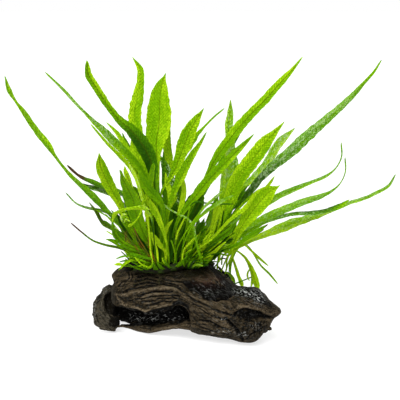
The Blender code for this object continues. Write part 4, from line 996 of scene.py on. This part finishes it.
def levelLeaves(name, places, seed):
    # foot + length·(t·level + 0.6·t²·(risen - level)), the same curve as on the solid
    young = youngLeaves[name]
    tubes = []
    for k in range(young["count"]):
        share = (k + 0.5) / young["count"]
        at = 1 + share * (len(places) - 3)
        foot = places[int(at)] + (at % 1) * (places[int(at) + 1] - places[int(at)])
        fan = 1.5 * (share - 0.5) + 0.25 * math.sin(4.1 * k)
        length = young["length"] / 1000 * (0.55 + 0.45 * math.sin(2.7 * k + 1) ** 2)
        width = young["width"] / 1000 * (0.60 + 0.40 * math.cos(1.9 * k) ** 2)
        level = unit(np.array([0.45 * fan, young["side"], 0.22]))
        risen = unit(np.array([0.85 * fan, 0.45 * young["side"], young["rise"]]))
        t = np.linspace(0, 1, 9)[:, None]
        centres = foot + length * (t * level + 0.6 * t * t * (risen - level))
        side = unit(np.cross(unit(level + 1.2 * t * (risen - level)), [0, 0, 1]))
        look = {"tint": 0.45 + 0.3 * math.sin(3.1 * k), "across": 9}
        tubes.append(bladeTube(centres, side, width / 2 * swelling(t[:, 0], 0.28, 0.15), look, seed + k))
    return tubes


rootShape = {
    "count": 90,
    "length": (8, 30),  # millimetres
    "radius": 0.00022,
    "taper": (1.2, 0.5),  # radius at both ends, to that
    "steps": 9,
    "start": 0.002,  # metres that its foot strays from the rhizome
    "gaps": (0.0003, 0.0012),  # metres off the wood, at every other step
    "wander": 0.35,
    "colour": (0.006, 0.004, 0.002),
    "young": (0.040, 0.036, 0.012),
}


def rootMaterial():
    # dark, and paler where it is young
    s = Shader("rootHair")
    place = s.node("ShaderNodeTexCoord", {}, {}, "Object")
    age = s.noise(place, 120, 2, 0.5)
    colour = s.blend(s.steps(age, 0.45, 0.70), rootShape["colour"], rootShape["young"])
    return s.dull(colour, s.noise(place, 2500, 2, 0.6), 0.6, 0.6, 0.0002)


def makeRoots(material, wood, paths):
    # each root leaves a rhizome and creeps down the wood in steps that are pulled back to the surface
    rng = np.random.default_rng(77)
    count = rootShape["steps"]
    tubes = []
    for i in range(rootShape["count"]):
        path = paths[i % 2]
        start = path[rng.integers(1, len(path) - 1)] + np.append(rng.normal(0, rootShape["start"], 2), 0)
        heading = unit(np.array([rng.normal(0, 1), -1.0 if i % 2 == 0 else 1.0, -0.2]))
        place, points = Vector(start), []
        for step in range(count):
            hit, normal = wood.find_nearest(place)[:2]
            points.append(hit + normal * rootShape["gaps"][step % 2])
            place = hit + Vector(heading) * rng.uniform(*rootShape["length"]) / (count * 1000)
            heading = unit(heading + rng.normal(0, rootShape["wander"], 3))
        radii = rootShape["radius"] * np.linspace(*rootShape["taper"], count)
        tubes.append(roundTube(np.array(points), radii, 5, 0.0012, i))
    addTubes("roots", tubes, material)
    print("roots made:", len(tubes))


def makeRhizomes(bark, leaf, wood):
    # round tubes, radius·(0.45 + 0.9·sin(πt)) and at most the radius, with their level leaves
    paths = []
    for seed, name in enumerate(rhizomeRuns):
        places = creepingPath(name, wood)
        paths.append(places)
        plump = np.clip(0.45 + 0.9 * np.sin(np.linspace(0.05, math.pi - 0.05, len(places))), 0, 1)
        tube = roundTube(places, rhizomeRuns[name][4] / 1000 * plump, 22, 0.0011, seed, 0.16)
        addTubes(name + "_bark", [tube], bark, [name])
        if name in youngLeaves:
            addTubes(name + "_leaves", levelLeaves(name, places, 500 + 40 * seed), leaf)
    print("rhizomes made:", len(paths))
    return paths


# The driftwood. Its lines and places are pixels of the photograph, on the side that is seen

woodNodes = ("driftwood_trunk", "driftwood_left_lobe", "driftwood_lower_limb")

woodShape = {
    "voxel": 0.00085,
    "smoothing": 14,  # rounds after the remesh
    "lump": 0.0007,  # metres of broad unevenness
    "ridge": 0.00055,  # metres of grain
    "streak": 0.00030,  # metres of fine grain
    "rough": 0.0016,  # metres of broken surface in the rough places
    "axis": (195, -0.42),  # the column where the log's axis is at depth 0, and how the axis slants
    "lobeEdge": (112, 118),  # columns over which the lobe gives way to the trunk
    "lobeTop": (283, 288),  # rows over which the lobe begins
    "lobeGrain": (0.85, 1.1),  # millimetres to a pixel, down the lobe and across its arch
    "facing": (-0.05, 0.30),  # how squarely a place faces the camera where the lines begin, and are full
    "front": (0.006, -0.004),  # metres behind the axis, in the same way
    "bendSize": ([0.35, 0.5, 0.5], 6.0),  # the grain's bends along, across and round, and over how much
    "bend": [0, 1.8, 1.8],  # millimetres
    "ridgeSizes": ([0.11, 0.42, 0.36], [0.16, 0.95, 0.80]),  # ridges to a millimetre, broad and narrow
    "ridgeShares": (0.5, 0.4),
    "streakSize": [0.30, 1.7, 1.5],
    "lumpSize": 0.016,
    "roughSize": 0.0050,
    "jog": (7.0, 1.1),  # the lines' jogs: how long and how far, in pixels
    "uneven": (5.0, 0.45),  # how their width varies
    # painted shade and highlight from the relief: rounds of smoothing that a height is taken over, light to a
    # metre, and the most it darkens and lightens
    "reliefShading": [(3, 900, -0.5, 0.13), (14, 260, -0.34, 0.11)],
    "film": {"row": 270, "high": (14, 4), "left": (160, 178), "right": (203, 214)},
    "damp": 0.04,  # wetness everywhere, which also lays faint flecks of painted highlight
    "calm": (0.6, 0.5),  # how much less grain the cave and the smooth wood have
    "flatFoot": (0.0005, 0.004),  # metres over the floor between which relief begins
    # where the underside is raised: rows over its edge, metres over the floor, metres behind the axis
    "raised": [(-14, -3), (0.016, 0.0), (0.010, -0.002)],
    # column,millimetres that the underside is raised
    "underside": [
        140,0, 150,0.4, 160,1.8, 172,2.7, 185,2.4, 195,2.6, 205,2.4, 225,2.1, 245,1.5, 255,0.6, 262,0],
    # small bars joined to it: column,row,depth,radius, with the last two in millimetres
    "links": [
        [108,321,9,3.4, 113,325,6,2.2, 118,326.2,2,1.6, 125,326.2,-4,1.5],  # low, to the lobe
        [107,318,9,3.4, 113,319.6,7,3.0, 118.6,321,4,2.0],
        [125,267,4,1.8, 131,264,0,3.0, 140,263,-4,3.4],  # a black knob under the leaves
        [99,328.4,4,1.8, 105,328.8,2,2.4, 111,328.8,2,2.9, 116,329.0,2,2.6],  # the lobe's foot
        [117.4,316,7,2.0, 118,321,6,1.8, 118.4,327,4,1.8],
        [258,331,-20,3.4, 264,330.2,-23,2.2, 271.2,328.2,-26,1.3],  # a splinter at the right
    ],
}

# rows of the grain's guide lines at rising columns, from the top edge to the underside
grainColumns = [92, 112, 120, 131, 145, 160, 172, 180, 190, 200, 215, 230, 245, 260, 281]
grainRows = np.array([
    [280, 273, 268, 265, 265.5, 266, 265.5, 265, 265, 264, 269, 282, 286.5, 290, 308],
    [290, 284, 281, 278.5, 276.5, 276, 277, 279, 283, 287, 289, 293, 298, 303, 310],
    [302, 298, 296.5, 294, 291, 288.8, 288.4, 293, 299, 304, 311, 318, 312, 309, 312],
    [314, 309, 308, 309.5, 312, 309, 308, 304, 311, 319, 328, 331, 326, 319, 314],
    [331, 331, 331, 332, 332.5, 331.5, 330, 330, 331.5, 334.5, 337, 339, 342.5, 337, 317],
])
lobeArch = [109,290, 106.5,298, 107,306, 111,313, 118,319]  # the grain of the lobe follows it

# lines cut into it, or standing out of it where the depth is under 0: width in pixels, depth in millimetres
woodLines = [
    # the light ridge that flows to the lower right, and the lip of the cave
    ([117,294, 126,294, 137,292, 148,290, 157,288.6, 167,288, 175,289, 183,292.6, 191,296.6, 201,301,
         211,307.4, 222,315, 229,319], 1.8, -1.3),
    ([118,297, 124,303.4, 131,307, 138,307.8, 145,311, 151,309, 158,306.6, 166,305.4, 172,304.4], 1.6,
         -0.9),
    # concentric grooves between them
    ([138,296, 146,293.6, 156,291.6, 165,291, 172,292], 0.9, 1.5),
    ([135,298.8, 146,297.6, 156,295.8, 168,294.6, 179,296.4], 0.9, 1.6),
    ([141,301.6, 152,300.6, 162,298.6, 173,297.6, 182,299.6], 1.0, 1.4),
    ([146,305, 154,304, 162,302, 171,300.8], 0.8, 0.9),
    # grooves above the ridge
    ([139,277, 148,274.8, 156,276.4, 165,279, 175,281, 184,283], 1.0, 1.7),
    ([137,281, 147,279.6, 158,281, 168,283, 178,286], 0.9, 1.5),
    ([135,285, 146,283, 158,284.4, 168,285.4, 180,289], 0.9, 1.3),
    ([145,272.4, 156,273.4, 166,275, 178,277.4], 0.8, 1.0),
    ([126,290, 136,288, 147,286.4, 155,286.6], 0.8, 0.7),
    ([128.4,273.6, 129.2,278.6, 122.8,281.2, 119.6,285.6], 0.7, 1.5),
    ([132,274.6, 133.4,278, 131,281], 0.7, 1.0),
    ([121,286.6, 124,285.6, 126,282], 0.6, 0.8),
    # the upper right recess with its lower lip
    ([199,290, 203.6,296.4, 208,299.6, 218,299.8, 226,299.2, 231,296, 236,292.6], 1.0, 2.4),
    ([203,294, 212,296, 221,295, 229,292], 1.4, -1.0),
    ([186,284, 194,288, 200,293], 1.2, 1.4),
    ([205,264.5, 210,271, 217,279, 225,286, 233,291], 1.0, -0.6),
    # the overhang on the right and what runs down below it
    ([235,314.4, 240,311.4, 247,310.2, 256,311, 264,315, 270,317], 1.4, 2.4),
    ([234,310, 243,307, 252,307.4, 262,311, 270,314], 1.6, -1.2),
    ([225.6,318, 230,323, 235,329, 239,335, 242.4,340.6], 1.3, 3.0),
    ([240,322, 248,320, 257,323, 263,328], 0.9, 0.9),
    ([247,340, 251,334, 257,331, 266,326], 0.9, 1.2),
    # grain right of the cave
    ([193,303, 203,308.4, 213,315, 224,319.6], 0.9, 0.7),
    ([198,309, 208,314.4, 218,318.4, 226,319.6], 0.9, 1.0),
    ([200,320.6, 210,322, 218,326.6, 228,329.6], 1.0, 1.6),
    ([188,322.6, 198,325.6, 208,329, 221,334], 0.9, 0.6),
    ([140,328, 152,327.4, 166,325.6, 180,324], 0.9, 0.8),
    ([228,300, 238,299.4, 250,302, 262,307], 0.8, 0.5),
    ([180,290, 192,298, 206,305, 220,312, 236,317], 0.9, 1.3),
]
# broad hollows and lumps: column,row,halfWidth,halfHeight,millimetres inwards
woodHollows = [
    206,288.5,15,4.5,2.6, 222,291,8,3.5,1.2, 194,285,7,3,1.2, 252,316,12,4,2.2, 232,328,4,8,1.0,
    185,306,5,4,1.0, 108.5,304,2.8,9,4.2, 112,313,3,5,2.0, 114,321,3,4,2.4,
]
# where the outline itself is moved, in the same way
woodTrims = [
    98,293,5,8,2.1, 112,274.4,2.5,3.5,-1.6, 112,282,2.5,3,1.6, 275,306,8,5,1.4, 267,338,6,5,1.6,
    120,327,5,2,0.3, 126,322,3.4,1.6,1.2, 238,285,5,3,1.6, 247,286,5,3,1.4, 106,331,6,2.5,0.7,
]
# places where the surface is broken up: column,row,halfWidth,halfHeight,strength
roughPlaces = [
    208,289,17,5,0.9, 250,325,15,9,1.3, 246,291,16,4,1.2, 258,298,10,5,0.8, 223,278,6,8,1.0,
    160,318,32,6,1.5, 93,305,5,20,1.1, 102,287,8,4,0.8, 222,334,14,3,0.7, 262,330,8,5,1.0,
]
# wet places with white flecks of painted highlight, in the same way, and those in the cave
woodGlints = [
    240,290,6,3.4,1.0, 249,293,8,4,1.1, 259,299,5,6,0.8, 222,332,8,2.0,0.8, 102,288,5,5,0.5,
    93,306,2.5,14,0.6, 244,335,6,4,0.35, 256,327,6,4,0.25, 222,318.4,6,1.6,0.6, 222,283,6,1.6,0.3,
    208,291,14,5,0.18,
]
caveGlints = [134,315.6,4,1.6,1.0, 142,319,10,3,0.60, 152,318,6,3,0.65, 170,317,12,4,0.60]
redPlace = [208,280,14,6,1.0]
# the smoother wood right of the cave, drawn round
smoothWood = [
    190,298, 205,302, 225,304, 245,300, 262,306, 240,309, 228,316, 222,332, 200,330, 184,326, 192,316,
]
caveBorder = [
    105,295, 104.4,301, 107,308, 110,313, 110.5,319, 109,324, 115,327, 119,325, 129,325.4, 136,325,
    153,325.4, 166,323.4, 181,322.4, 191,318, 190,312, 187,306, 183,302, 178.5,300, 174,302, 172.6,305,
    164,307.6, 153.5,309, 146,312.4, 138,309.4, 130,308, 121,306, 114,305.6, 112,300.6, 110,295.4,
]
# parts that lie in the dark, drawn round: how soft the border is in pixels, how much darker they are
woodShades = [
    (caveBorder, 1.2, 0.70),
    ([184,281, 191,280.6, 200,283, 213,283.6, 221,286, 229,289, 235,292.4, 227,298.6, 214,299.6, 207,299.6,
         200,295, 194,291, 187,288], 2.2, 0.66),
    ([186,282, 192,281, 201,284, 213,284.6, 219,288, 212,291, 203,291, 198,290, 190,287], 1.8, 0.22),
    ([236,313, 241,310.4, 247,309.4, 256,310.4, 265,314, 270,318, 262,318, 254,315, 246,315, 240,317], 1.4,
         0.40),
    ([228,318, 238,317, 247,316, 258,318, 267,321, 264,331, 257,339, 247,342, 241,338, 234,328], 2.5, 0.16),
    ([123,268, 127,258, 150,256, 153,265, 135,269.6, 127,272.5], 1.2, 0.46),
    ([134,262, 205,262, 207,268, 196,271, 180,270, 160,268, 134,268.6], 2.0, 0.22),
    ([207,263, 213,268, 222,276, 232,284, 236,290, 229,290, 222,284, 215,276, 209,270], 1.2, 0.60),
    ([233,287, 242,286, 252,287, 261,291, 266,300, 272,306, 262,304, 254,299, 245,296.6, 237,295], 1.6,
         0.56),
    ([92,300, 95,292, 101,286, 104,288, 99,296, 97,308, 98,320, 95,322, 92,312], 1.5, 0.10),
]
# painted highlights on lit swells and ridges, partly the wood's own paler brown, and painted shade where the
# amount is under 0: width in pixels, how much lighter
paintedWoodLight = [
    ([118,295, 128,295, 140,292, 150,290, 158,288.6, 167,288, 174,289.4], 2.0, 0.13),
    ([174,290, 183,294, 192,299, 202,304, 213,311, 224,318], 3.6, 0.03),
    ([120,299, 126,304.6, 133,307, 139,308, 146,311, 152,308.6, 160,306, 168,304.6], 2.6, 0.19),
    ([136,297.4, 148,295.6, 160,293.2, 170,293.6], 1.6, 0.10),
    ([198,306, 208,312, 219,318.6], 3.0, 0.06),
    ([236,308, 246,306.4, 256,308.4, 268,313, 277,312], 3.0, 0.08),
    ([226,318, 231,325, 237,333, 242,341], 1.6, -0.34),  # painted shade that blackens the gully
    ([136,329, 150,328.4, 166,327, 182,325], 1.8, 0.02),
    ([113,273, 117,270.6, 122,270], 2.5, 0.10),
    ([180,290, 192,298, 206,305, 220,312, 236,317], 1.2, -0.14),
    ([209,268, 214,275, 220,282, 226,287], 0.9, 0.34),
]

woodPaint = {
    "black": (0.0012, 0.0010, 0.0006),
    "dark": (0.0064, 0.0050, 0.0026),
    "middle": (0.0172, 0.0130, 0.0068),
    # lit and pale: the tones of lit ridges, reached through the painted shading and the grain
    "lit": (0.0575, 0.0420, 0.0235),
    "pale": (0.1380, 0.1080, 0.0680),
    "grey": (0.0480, 0.0450, 0.0325),
    # the green film under the leaves, dark as the plant's painted shadow over it
    "film": (0.0060, 0.0066, 0.0010),
    "red": (0.0480, 0.0230, 0.0150),
    # a painted highlight on wet wood
    "glint": (0.46, 0.47, 0.44),
    "roughness": 0.62,
    "streak": 0.60,  # how strongly it varies: along the grain, in blotches, in grit and in cracks
    "blotch": 0.34,
    "grit": 0.50,
    "crack": 0.36,
    "crackWidth": 0.030,
    "fleckFrom": 0.56,  # noise over which a fleck begins, and is full
    "fleckTo": 0.60,
}


def woodMaterial():
    # light = painted shading + streaks + blotches + grit - cracks, with grey, the green film with the plant's
    # painted shadow, red and white flecks of painted highlight over it
    s = Shader("wetDriftwood")
    p = woodPaint
    flow = s.stored("flow", "Vector")  # millimetres along the grain, across it and around
    crest, wet, film, grey, red = (s.stored(name) for name in ("crest", "wet", "film", "grey", "red"))
    streak = s.noise(s.stretched(flow, (0.16, 0.85, 0.85)), 1.0, 4, 0.66, 0.5)
    blotch = s.noise(s.stretched(flow, (0.06, 0.14, 0.14)), 1.0, 3, 0.6)
    grit = s.noise(flow, 0.80, 4, 0.70)
    seam = abs(s.noise(s.stretched(flow, (0.05, 0.26, 0.26)), 1.0, 3, 0.62, 0.8) - 0.5)
    crack = s.steps(seam, 0.0, p["crackWidth"], 1.0, 0.0)  # thin dark lines along the grain
    light = (crest + (streak - 0.5) * p["streak"] + (blotch - 0.5) * p["blotch"]
             + (grit - 0.5) * (p["grit"] + grey) - crack * p["crack"])
    colour = s.ramp(light, [
        (0.14, p["black"]), (0.31, p["dark"]), (0.50, p["middle"]), (0.76, p["lit"]), (1.0, p["pale"])])
    colour = s.blend(grey * 0.65, colour, s.blend(s.steps(light, 0.25, 0.7), p["dark"], p["grey"]))
    colour = s.blend(film * 0.80, colour, p["film"])
    colour = s.blend(red * s.steps(streak, 0.40, 0.62) * 0.7, colour, p["red"])
    # painted highlights: white flecks where it is wet
    dash = s.noise(s.stretched(flow, (0.34, 0.95, 0.95)), 1.0, 3, 0.66)
    fleck = s.steps(dash, p["fleckFrom"], p["fleckTo"]) * wet
    colour = s.blend(fleck * 0.95, colour, p["glint"])
    gloss = wet * s.steps(grit, 0.45, 0.62)
    normal = s.bump(grit, 0.6, 0.0009, s.bump(streak - crack * 0.4, 0.8, 0.0011))
    return s.finish(s.node("ShaderNodeBsdfPrincipled", {}, {
        "Base Color": colour, "Roughness": p["roughness"] - gloss * 0.2 + (streak - 0.5) * 0.15,
        "Specular IOR Level": 0.03, "Coat Weight": gloss * 0.5, "Coat Roughness": 0.16, "Normal": normal}))


def axisDepth(columns):
    # slant·(column - start), in metres
    start, slant = woodShape["axis"]
    return slant * (columns - start) * view["pixel"]


def grainPlace(columns, rows, depths):
    # millimetres along the grain, across it and round the log: a row counts from the guide lines round it
    lines = np.array([np.interp(columns, grainColumns, guide) for guide in grainRows])
    total = np.zeros(columns.shape)
    for upper, lower in zip(lines, lines[1:]):
        total += np.clip((rows - upper) / np.maximum(lower - upper, 1), 0, 1)
    total += np.minimum(rows - lines[0], 0) / 12 + np.maximum(rows - lines[-1], 0) / 12
    along = (columns - woodShape["axis"][0]) * view["pixel"] * 1000
    return np.stack([along, total * 11, (depths - axisDepth(columns)) * 1000], -1)


def edgeMean(values, edges, counts):
    # the mean of each point's neighbours
    total = np.zeros_like(values)
    for axis in range(values.shape[1]):
        total[:, axis] = (np.bincount(edges[:, 0], values[edges[:, 1], axis], len(values))
                          + np.bincount(edges[:, 1], values[edges[:, 0], axis], len(values)))
    return total / counts[:, None]


def woodSolids():
    # the points of each wooden solid, and the triangles of all three counted through
    points, faces, first = [], [], 0
    for name in woodNodes:
        places, triangles = nodeTriangles(name)
        points.append(places)
        faces.append(triangles + first)
        first += len(places)
    return points, np.concatenate(faces).tolist()


def remeshedWood():
    # the solids and the links to them in one even skin
    bars = []
    for link in woodShape["links"]:
        columns, rows, depths, radii = grouped(link, 4).T
        bars.append(roundTube(seenAt(columns, rows, depths / 1000), radii / 1000, 12, 0.002, 0)[0])
    mesh = bpy.data.meshes.new("woodSkin")
    mesh.from_pydata(*joinTubes(bars, *woodSolids()))
    skin = placed("woodSkin", mesh)
    remesh = skin.modifiers.new("remesh", "REMESH")
    remesh.mode, remesh.voxel_size = "VOXEL", woodShape["voxel"]
    smooth = skin.modifiers.new("smooth", "SMOOTH")
    smooth.factor, smooth.iterations = 0.5, woodShape["smoothing"]
    bpy.context.view_layer.update()
    made = bpy.data.meshes.new_from_object(skin.evaluated_get(bpy.context.evaluated_depsgraph_get()))
    bpy.data.objects.remove(skin)
    return made


def meshArray(rows, name, width, kind=np.float32):
    # an attribute of a mesh's points or edges as an array
    values = np.empty(len(rows) * width, kind)
    rows.foreach_get(name, values)
    return values.reshape(-1, width)


def makeDriftwood(material):
    # point + normal·(lumps + grain + fine grain + lines + hollows), the lines only on the side that is seen
    w = woodShape
    mesh = remeshedWood()
    points = meshArray(mesh.vertices, "co", 3).astype(float)
    normals = meshArray(mesh.vertex_normals, "vector", 3).astype(float)
    edges = meshArray(mesh.edges, "vertices", 2, np.int32)
    counts = np.bincount(edges.ravel(), minlength=len(points))
    columns, rows = pixelOf(points)
    depths = points[:, 1]
    behind = depths - axisDepth(columns)
    turned = between(*w["facing"], (unit(eye - points) * normals).sum(1))
    left = 1 - between(*w["lobeEdge"], columns)
    near = turned * np.maximum(between(*w["front"], behind), left)
    place = grainPlace(columns, rows, depths)
    lobe = left * between(*w["lobeTop"], rows)
    down, over = w["lobeGrain"]
    lobePlace = np.stack([rows * down, distanceTo(lobeArch, columns, rows) * over, place[:, 2]], -1)
    place = place * (1 - lobe[:, None]) + lobePlace * lobe[:, None]
    squeeze, size = w["bendSize"]
    bent = place + layeredNoise(place * squeeze, size, 31, 2)[:, None] * w["bend"]
    ridges = [share * (1 - 2 * np.abs(softNoise(bent * size, 1.0, seed)) ** 0.8)
              for share, size, seed in zip(w["ridgeShares"], w["ridgeSizes"], (3, 9))]
    streaks = softNoise(bent * w["streakSize"], 1.0, 15)
    lumps = layeredNoise(points, w["lumpSize"], 41, 2)
    rough = np.clip(spots(roughPlaces, columns, rows), 0, 1.6) * np.where(behind > 0.01, 0.5, 1.0)
    broken = layeredNoise(points, w["roughSize"], 51, 3)
    inCave = insideOf(caveBorder, 1.5, columns, rows) * turned
    calm = insideOf(smoothWood, 6.0, columns, rows) * turned
    less, quiet = w["calm"]
    grain = (ridges[0] + ridges[1]) * (1 - less * inCave) * (1 - quiet * calm)
    move = w["lump"] * lumps + w["ridge"] * grain + w["streak"] * streaks + w["rough"] * rough * broken
    # the lines are jogged and uneven, as grain is
    unsteady = np.stack([columns, rows, depths * 300], -1)
    size, much = w["jog"]
    jogX, jogY = (layeredNoise(unsteady, size, seed, 3) * much for seed in (71, 81))
    size, much = w["uneven"]
    uneven = 1 + much * layeredNoise(unsteady, size, 91, 2)
    carved = np.zeros(len(points))
    for path, width, depth in woodLines:
        gap = distanceTo(path, columns + jogX, rows + jogY) * uneven
        carved -= depth / 1000 * np.exp(-((gap / width) ** 2))
    carved -= spots(woodHollows, columns, rows) / 1000
    onFoot = between(*w["flatFoot"], points[:, 2])
    move = (move + carved * near) * onFoot - spots(woodTrims, columns, rows) / 1000
    points = points + normals * move[:, None]
    overEdge, low, front = w["raised"]
    raised = between(*overEdge, rows - np.interp(columns, grainColumns, grainRows[-1]))
    raised = follow(w["underside"], columns) * raised / 1000 * between(*low, points[:, 2])
    points[:, 2] += raised * between(*front, behind)
    points[:, 2] = np.maximum(points[:, 2], 0)
    # painted shade and highlight: the height of a point over its neighbourhood, fine and broad, lightens
    # crests and darkens grooves
    level, crest = points, 0.50
    for rounds, gain, darkest, lightest in w["reliefShading"]:
        for _ in range(rounds):
            level = edgeMean(level, edges, counts)
        crest = crest + np.clip(((points - level) * normals).sum(1) * gain, darkest, lightest)
    # painted shade over the parts that lie in the dark
    for border, soft, much in woodShades:
        crest -= much * insideOf(border, soft, columns, rows) * turned
    # painted highlights along ridges, and painted shade where the amount is under 0
    for path, width, much in paintedWoodLight:
        gap = distanceTo(path, columns, rows)
        crest += much * np.exp(-((gap / width) ** 2)) * turned * (1 - inCave)
    # painted highlights: white glint flecks in wet places and in the cave
    glints = spots(woodGlints, columns, rows) + inCave * spots(caveGlints, columns, rows)
    f = w["film"]
    film = between(*f["high"], np.abs(rows - f["row"])) * between(*f["left"], columns)
    film = film * (1 - between(*f["right"], columns))
    mesh.vertices.foreach_set("co", points.astype(np.float32).ravel())
    mesh.update()
    addPiece("driftwood", mesh, {
        "flow": place,
        "crest": np.clip(crest, 0, 1),
        "wet": np.clip(glints, 0, 1) * turned + w["damp"],
        "film": film * (0.6 + 0.4 * softNoise(points, 0.006, 61)),  # a green film under the leaves, darkened as the plant's painted shadow
        "grey": lobe,
        "red": spots(redPlace, columns, rows) * near,
    }, material, woodNodes)
    print("driftwood made:", len(points), "points")


def woodTree():
    # a search tree over the wooden solids
    points, faces = woodSolids()
    return BVHTree.FromPolygons(np.concatenate(points).tolist(), faces)


studio = {
    "world": 0.48,  # the light that comes from all round
    "floor": (0.38, 0.38, 0.38),
    "floorGlow": 0.70,  # the floor's own light, so that shadows stay faint
    "lamps": {
        "sun": {"place": (-0.25, -1.0, 1.0), "spread": 40, "power": 4.0},
        "rim": {"place": (0.7, 0.9, 0.8), "spread": 60, "power": 0.9},
    },
}


def makeStudio():
    # a pale floor with light of its own, a white backdrop and two soft suns
    floorMesh = bpy.data.meshes.new("floor")
    floorMesh.from_pydata([(-9, -9, 0), (9, -9, 0), (9, 9, 0), (-9, 9, 0)], [], [(0, 1, 2, 3)])
    s = Shader("floorPaper")
    floorMesh.materials.append(s.finish(s.node("ShaderNodeBsdfPrincipled", {}, {
        "Base Color": studio["floor"], "Roughness": 0.9, "Specular IOR Level": 0.0,
        "Emission Color": (1, 1, 1), "Emission Strength": studio["floorGlow"]})))
    placed("floor", floorMesh)
    world = bpy.data.worlds.new("studio")
    world.use_nodes = True
    nodes, links = world.node_tree.nodes, world.node_tree.links
    background = nodes["Background"]
    background.inputs["Color"].default_value = (1, 1, 1, 1)
    seen = nodes.new("ShaderNodeLightPath")
    strength = nodes.new("ShaderNodeMapRange")  # the backdrop itself is white
    strength.inputs["To Min"].default_value, strength.inputs["To Max"].default_value = studio["world"], 1.0
    links.new(seen.outputs["Is Camera Ray"], strength.inputs["Value"])
    links.new(strength.outputs["Result"], background.inputs["Strength"])
    bpy.context.scene.world = world
    for name, spec in studio["lamps"].items():
        lamp = bpy.data.lights.new(name, "SUN")
        lamp.energy, lamp.angle = spec["power"], math.radians(spec["spread"])
        placed(name, lamp).rotation_euler = (-Vector(spec["place"])).to_track_quat("-Z", "Y").to_euler()
    bpy.context.scene.view_settings.view_transform = "Standard"
    print("studio made")


placeCamera()
makeStudio()
leafGreen = leafMaterial()
tree = woodTree()
makeDriftwood(woodMaterial())
makeLeaves(leafGreen)
rhizomePaths = makeRhizomes(rhizomeMaterial(), leafGreen, tree)
makeRoots(rootMaterial(), tree, rhizomePaths)
makeSmallLeaves(leafGreen, tree, np.concatenate(rhizomePaths))
makeRussetStems(russetMaterial())
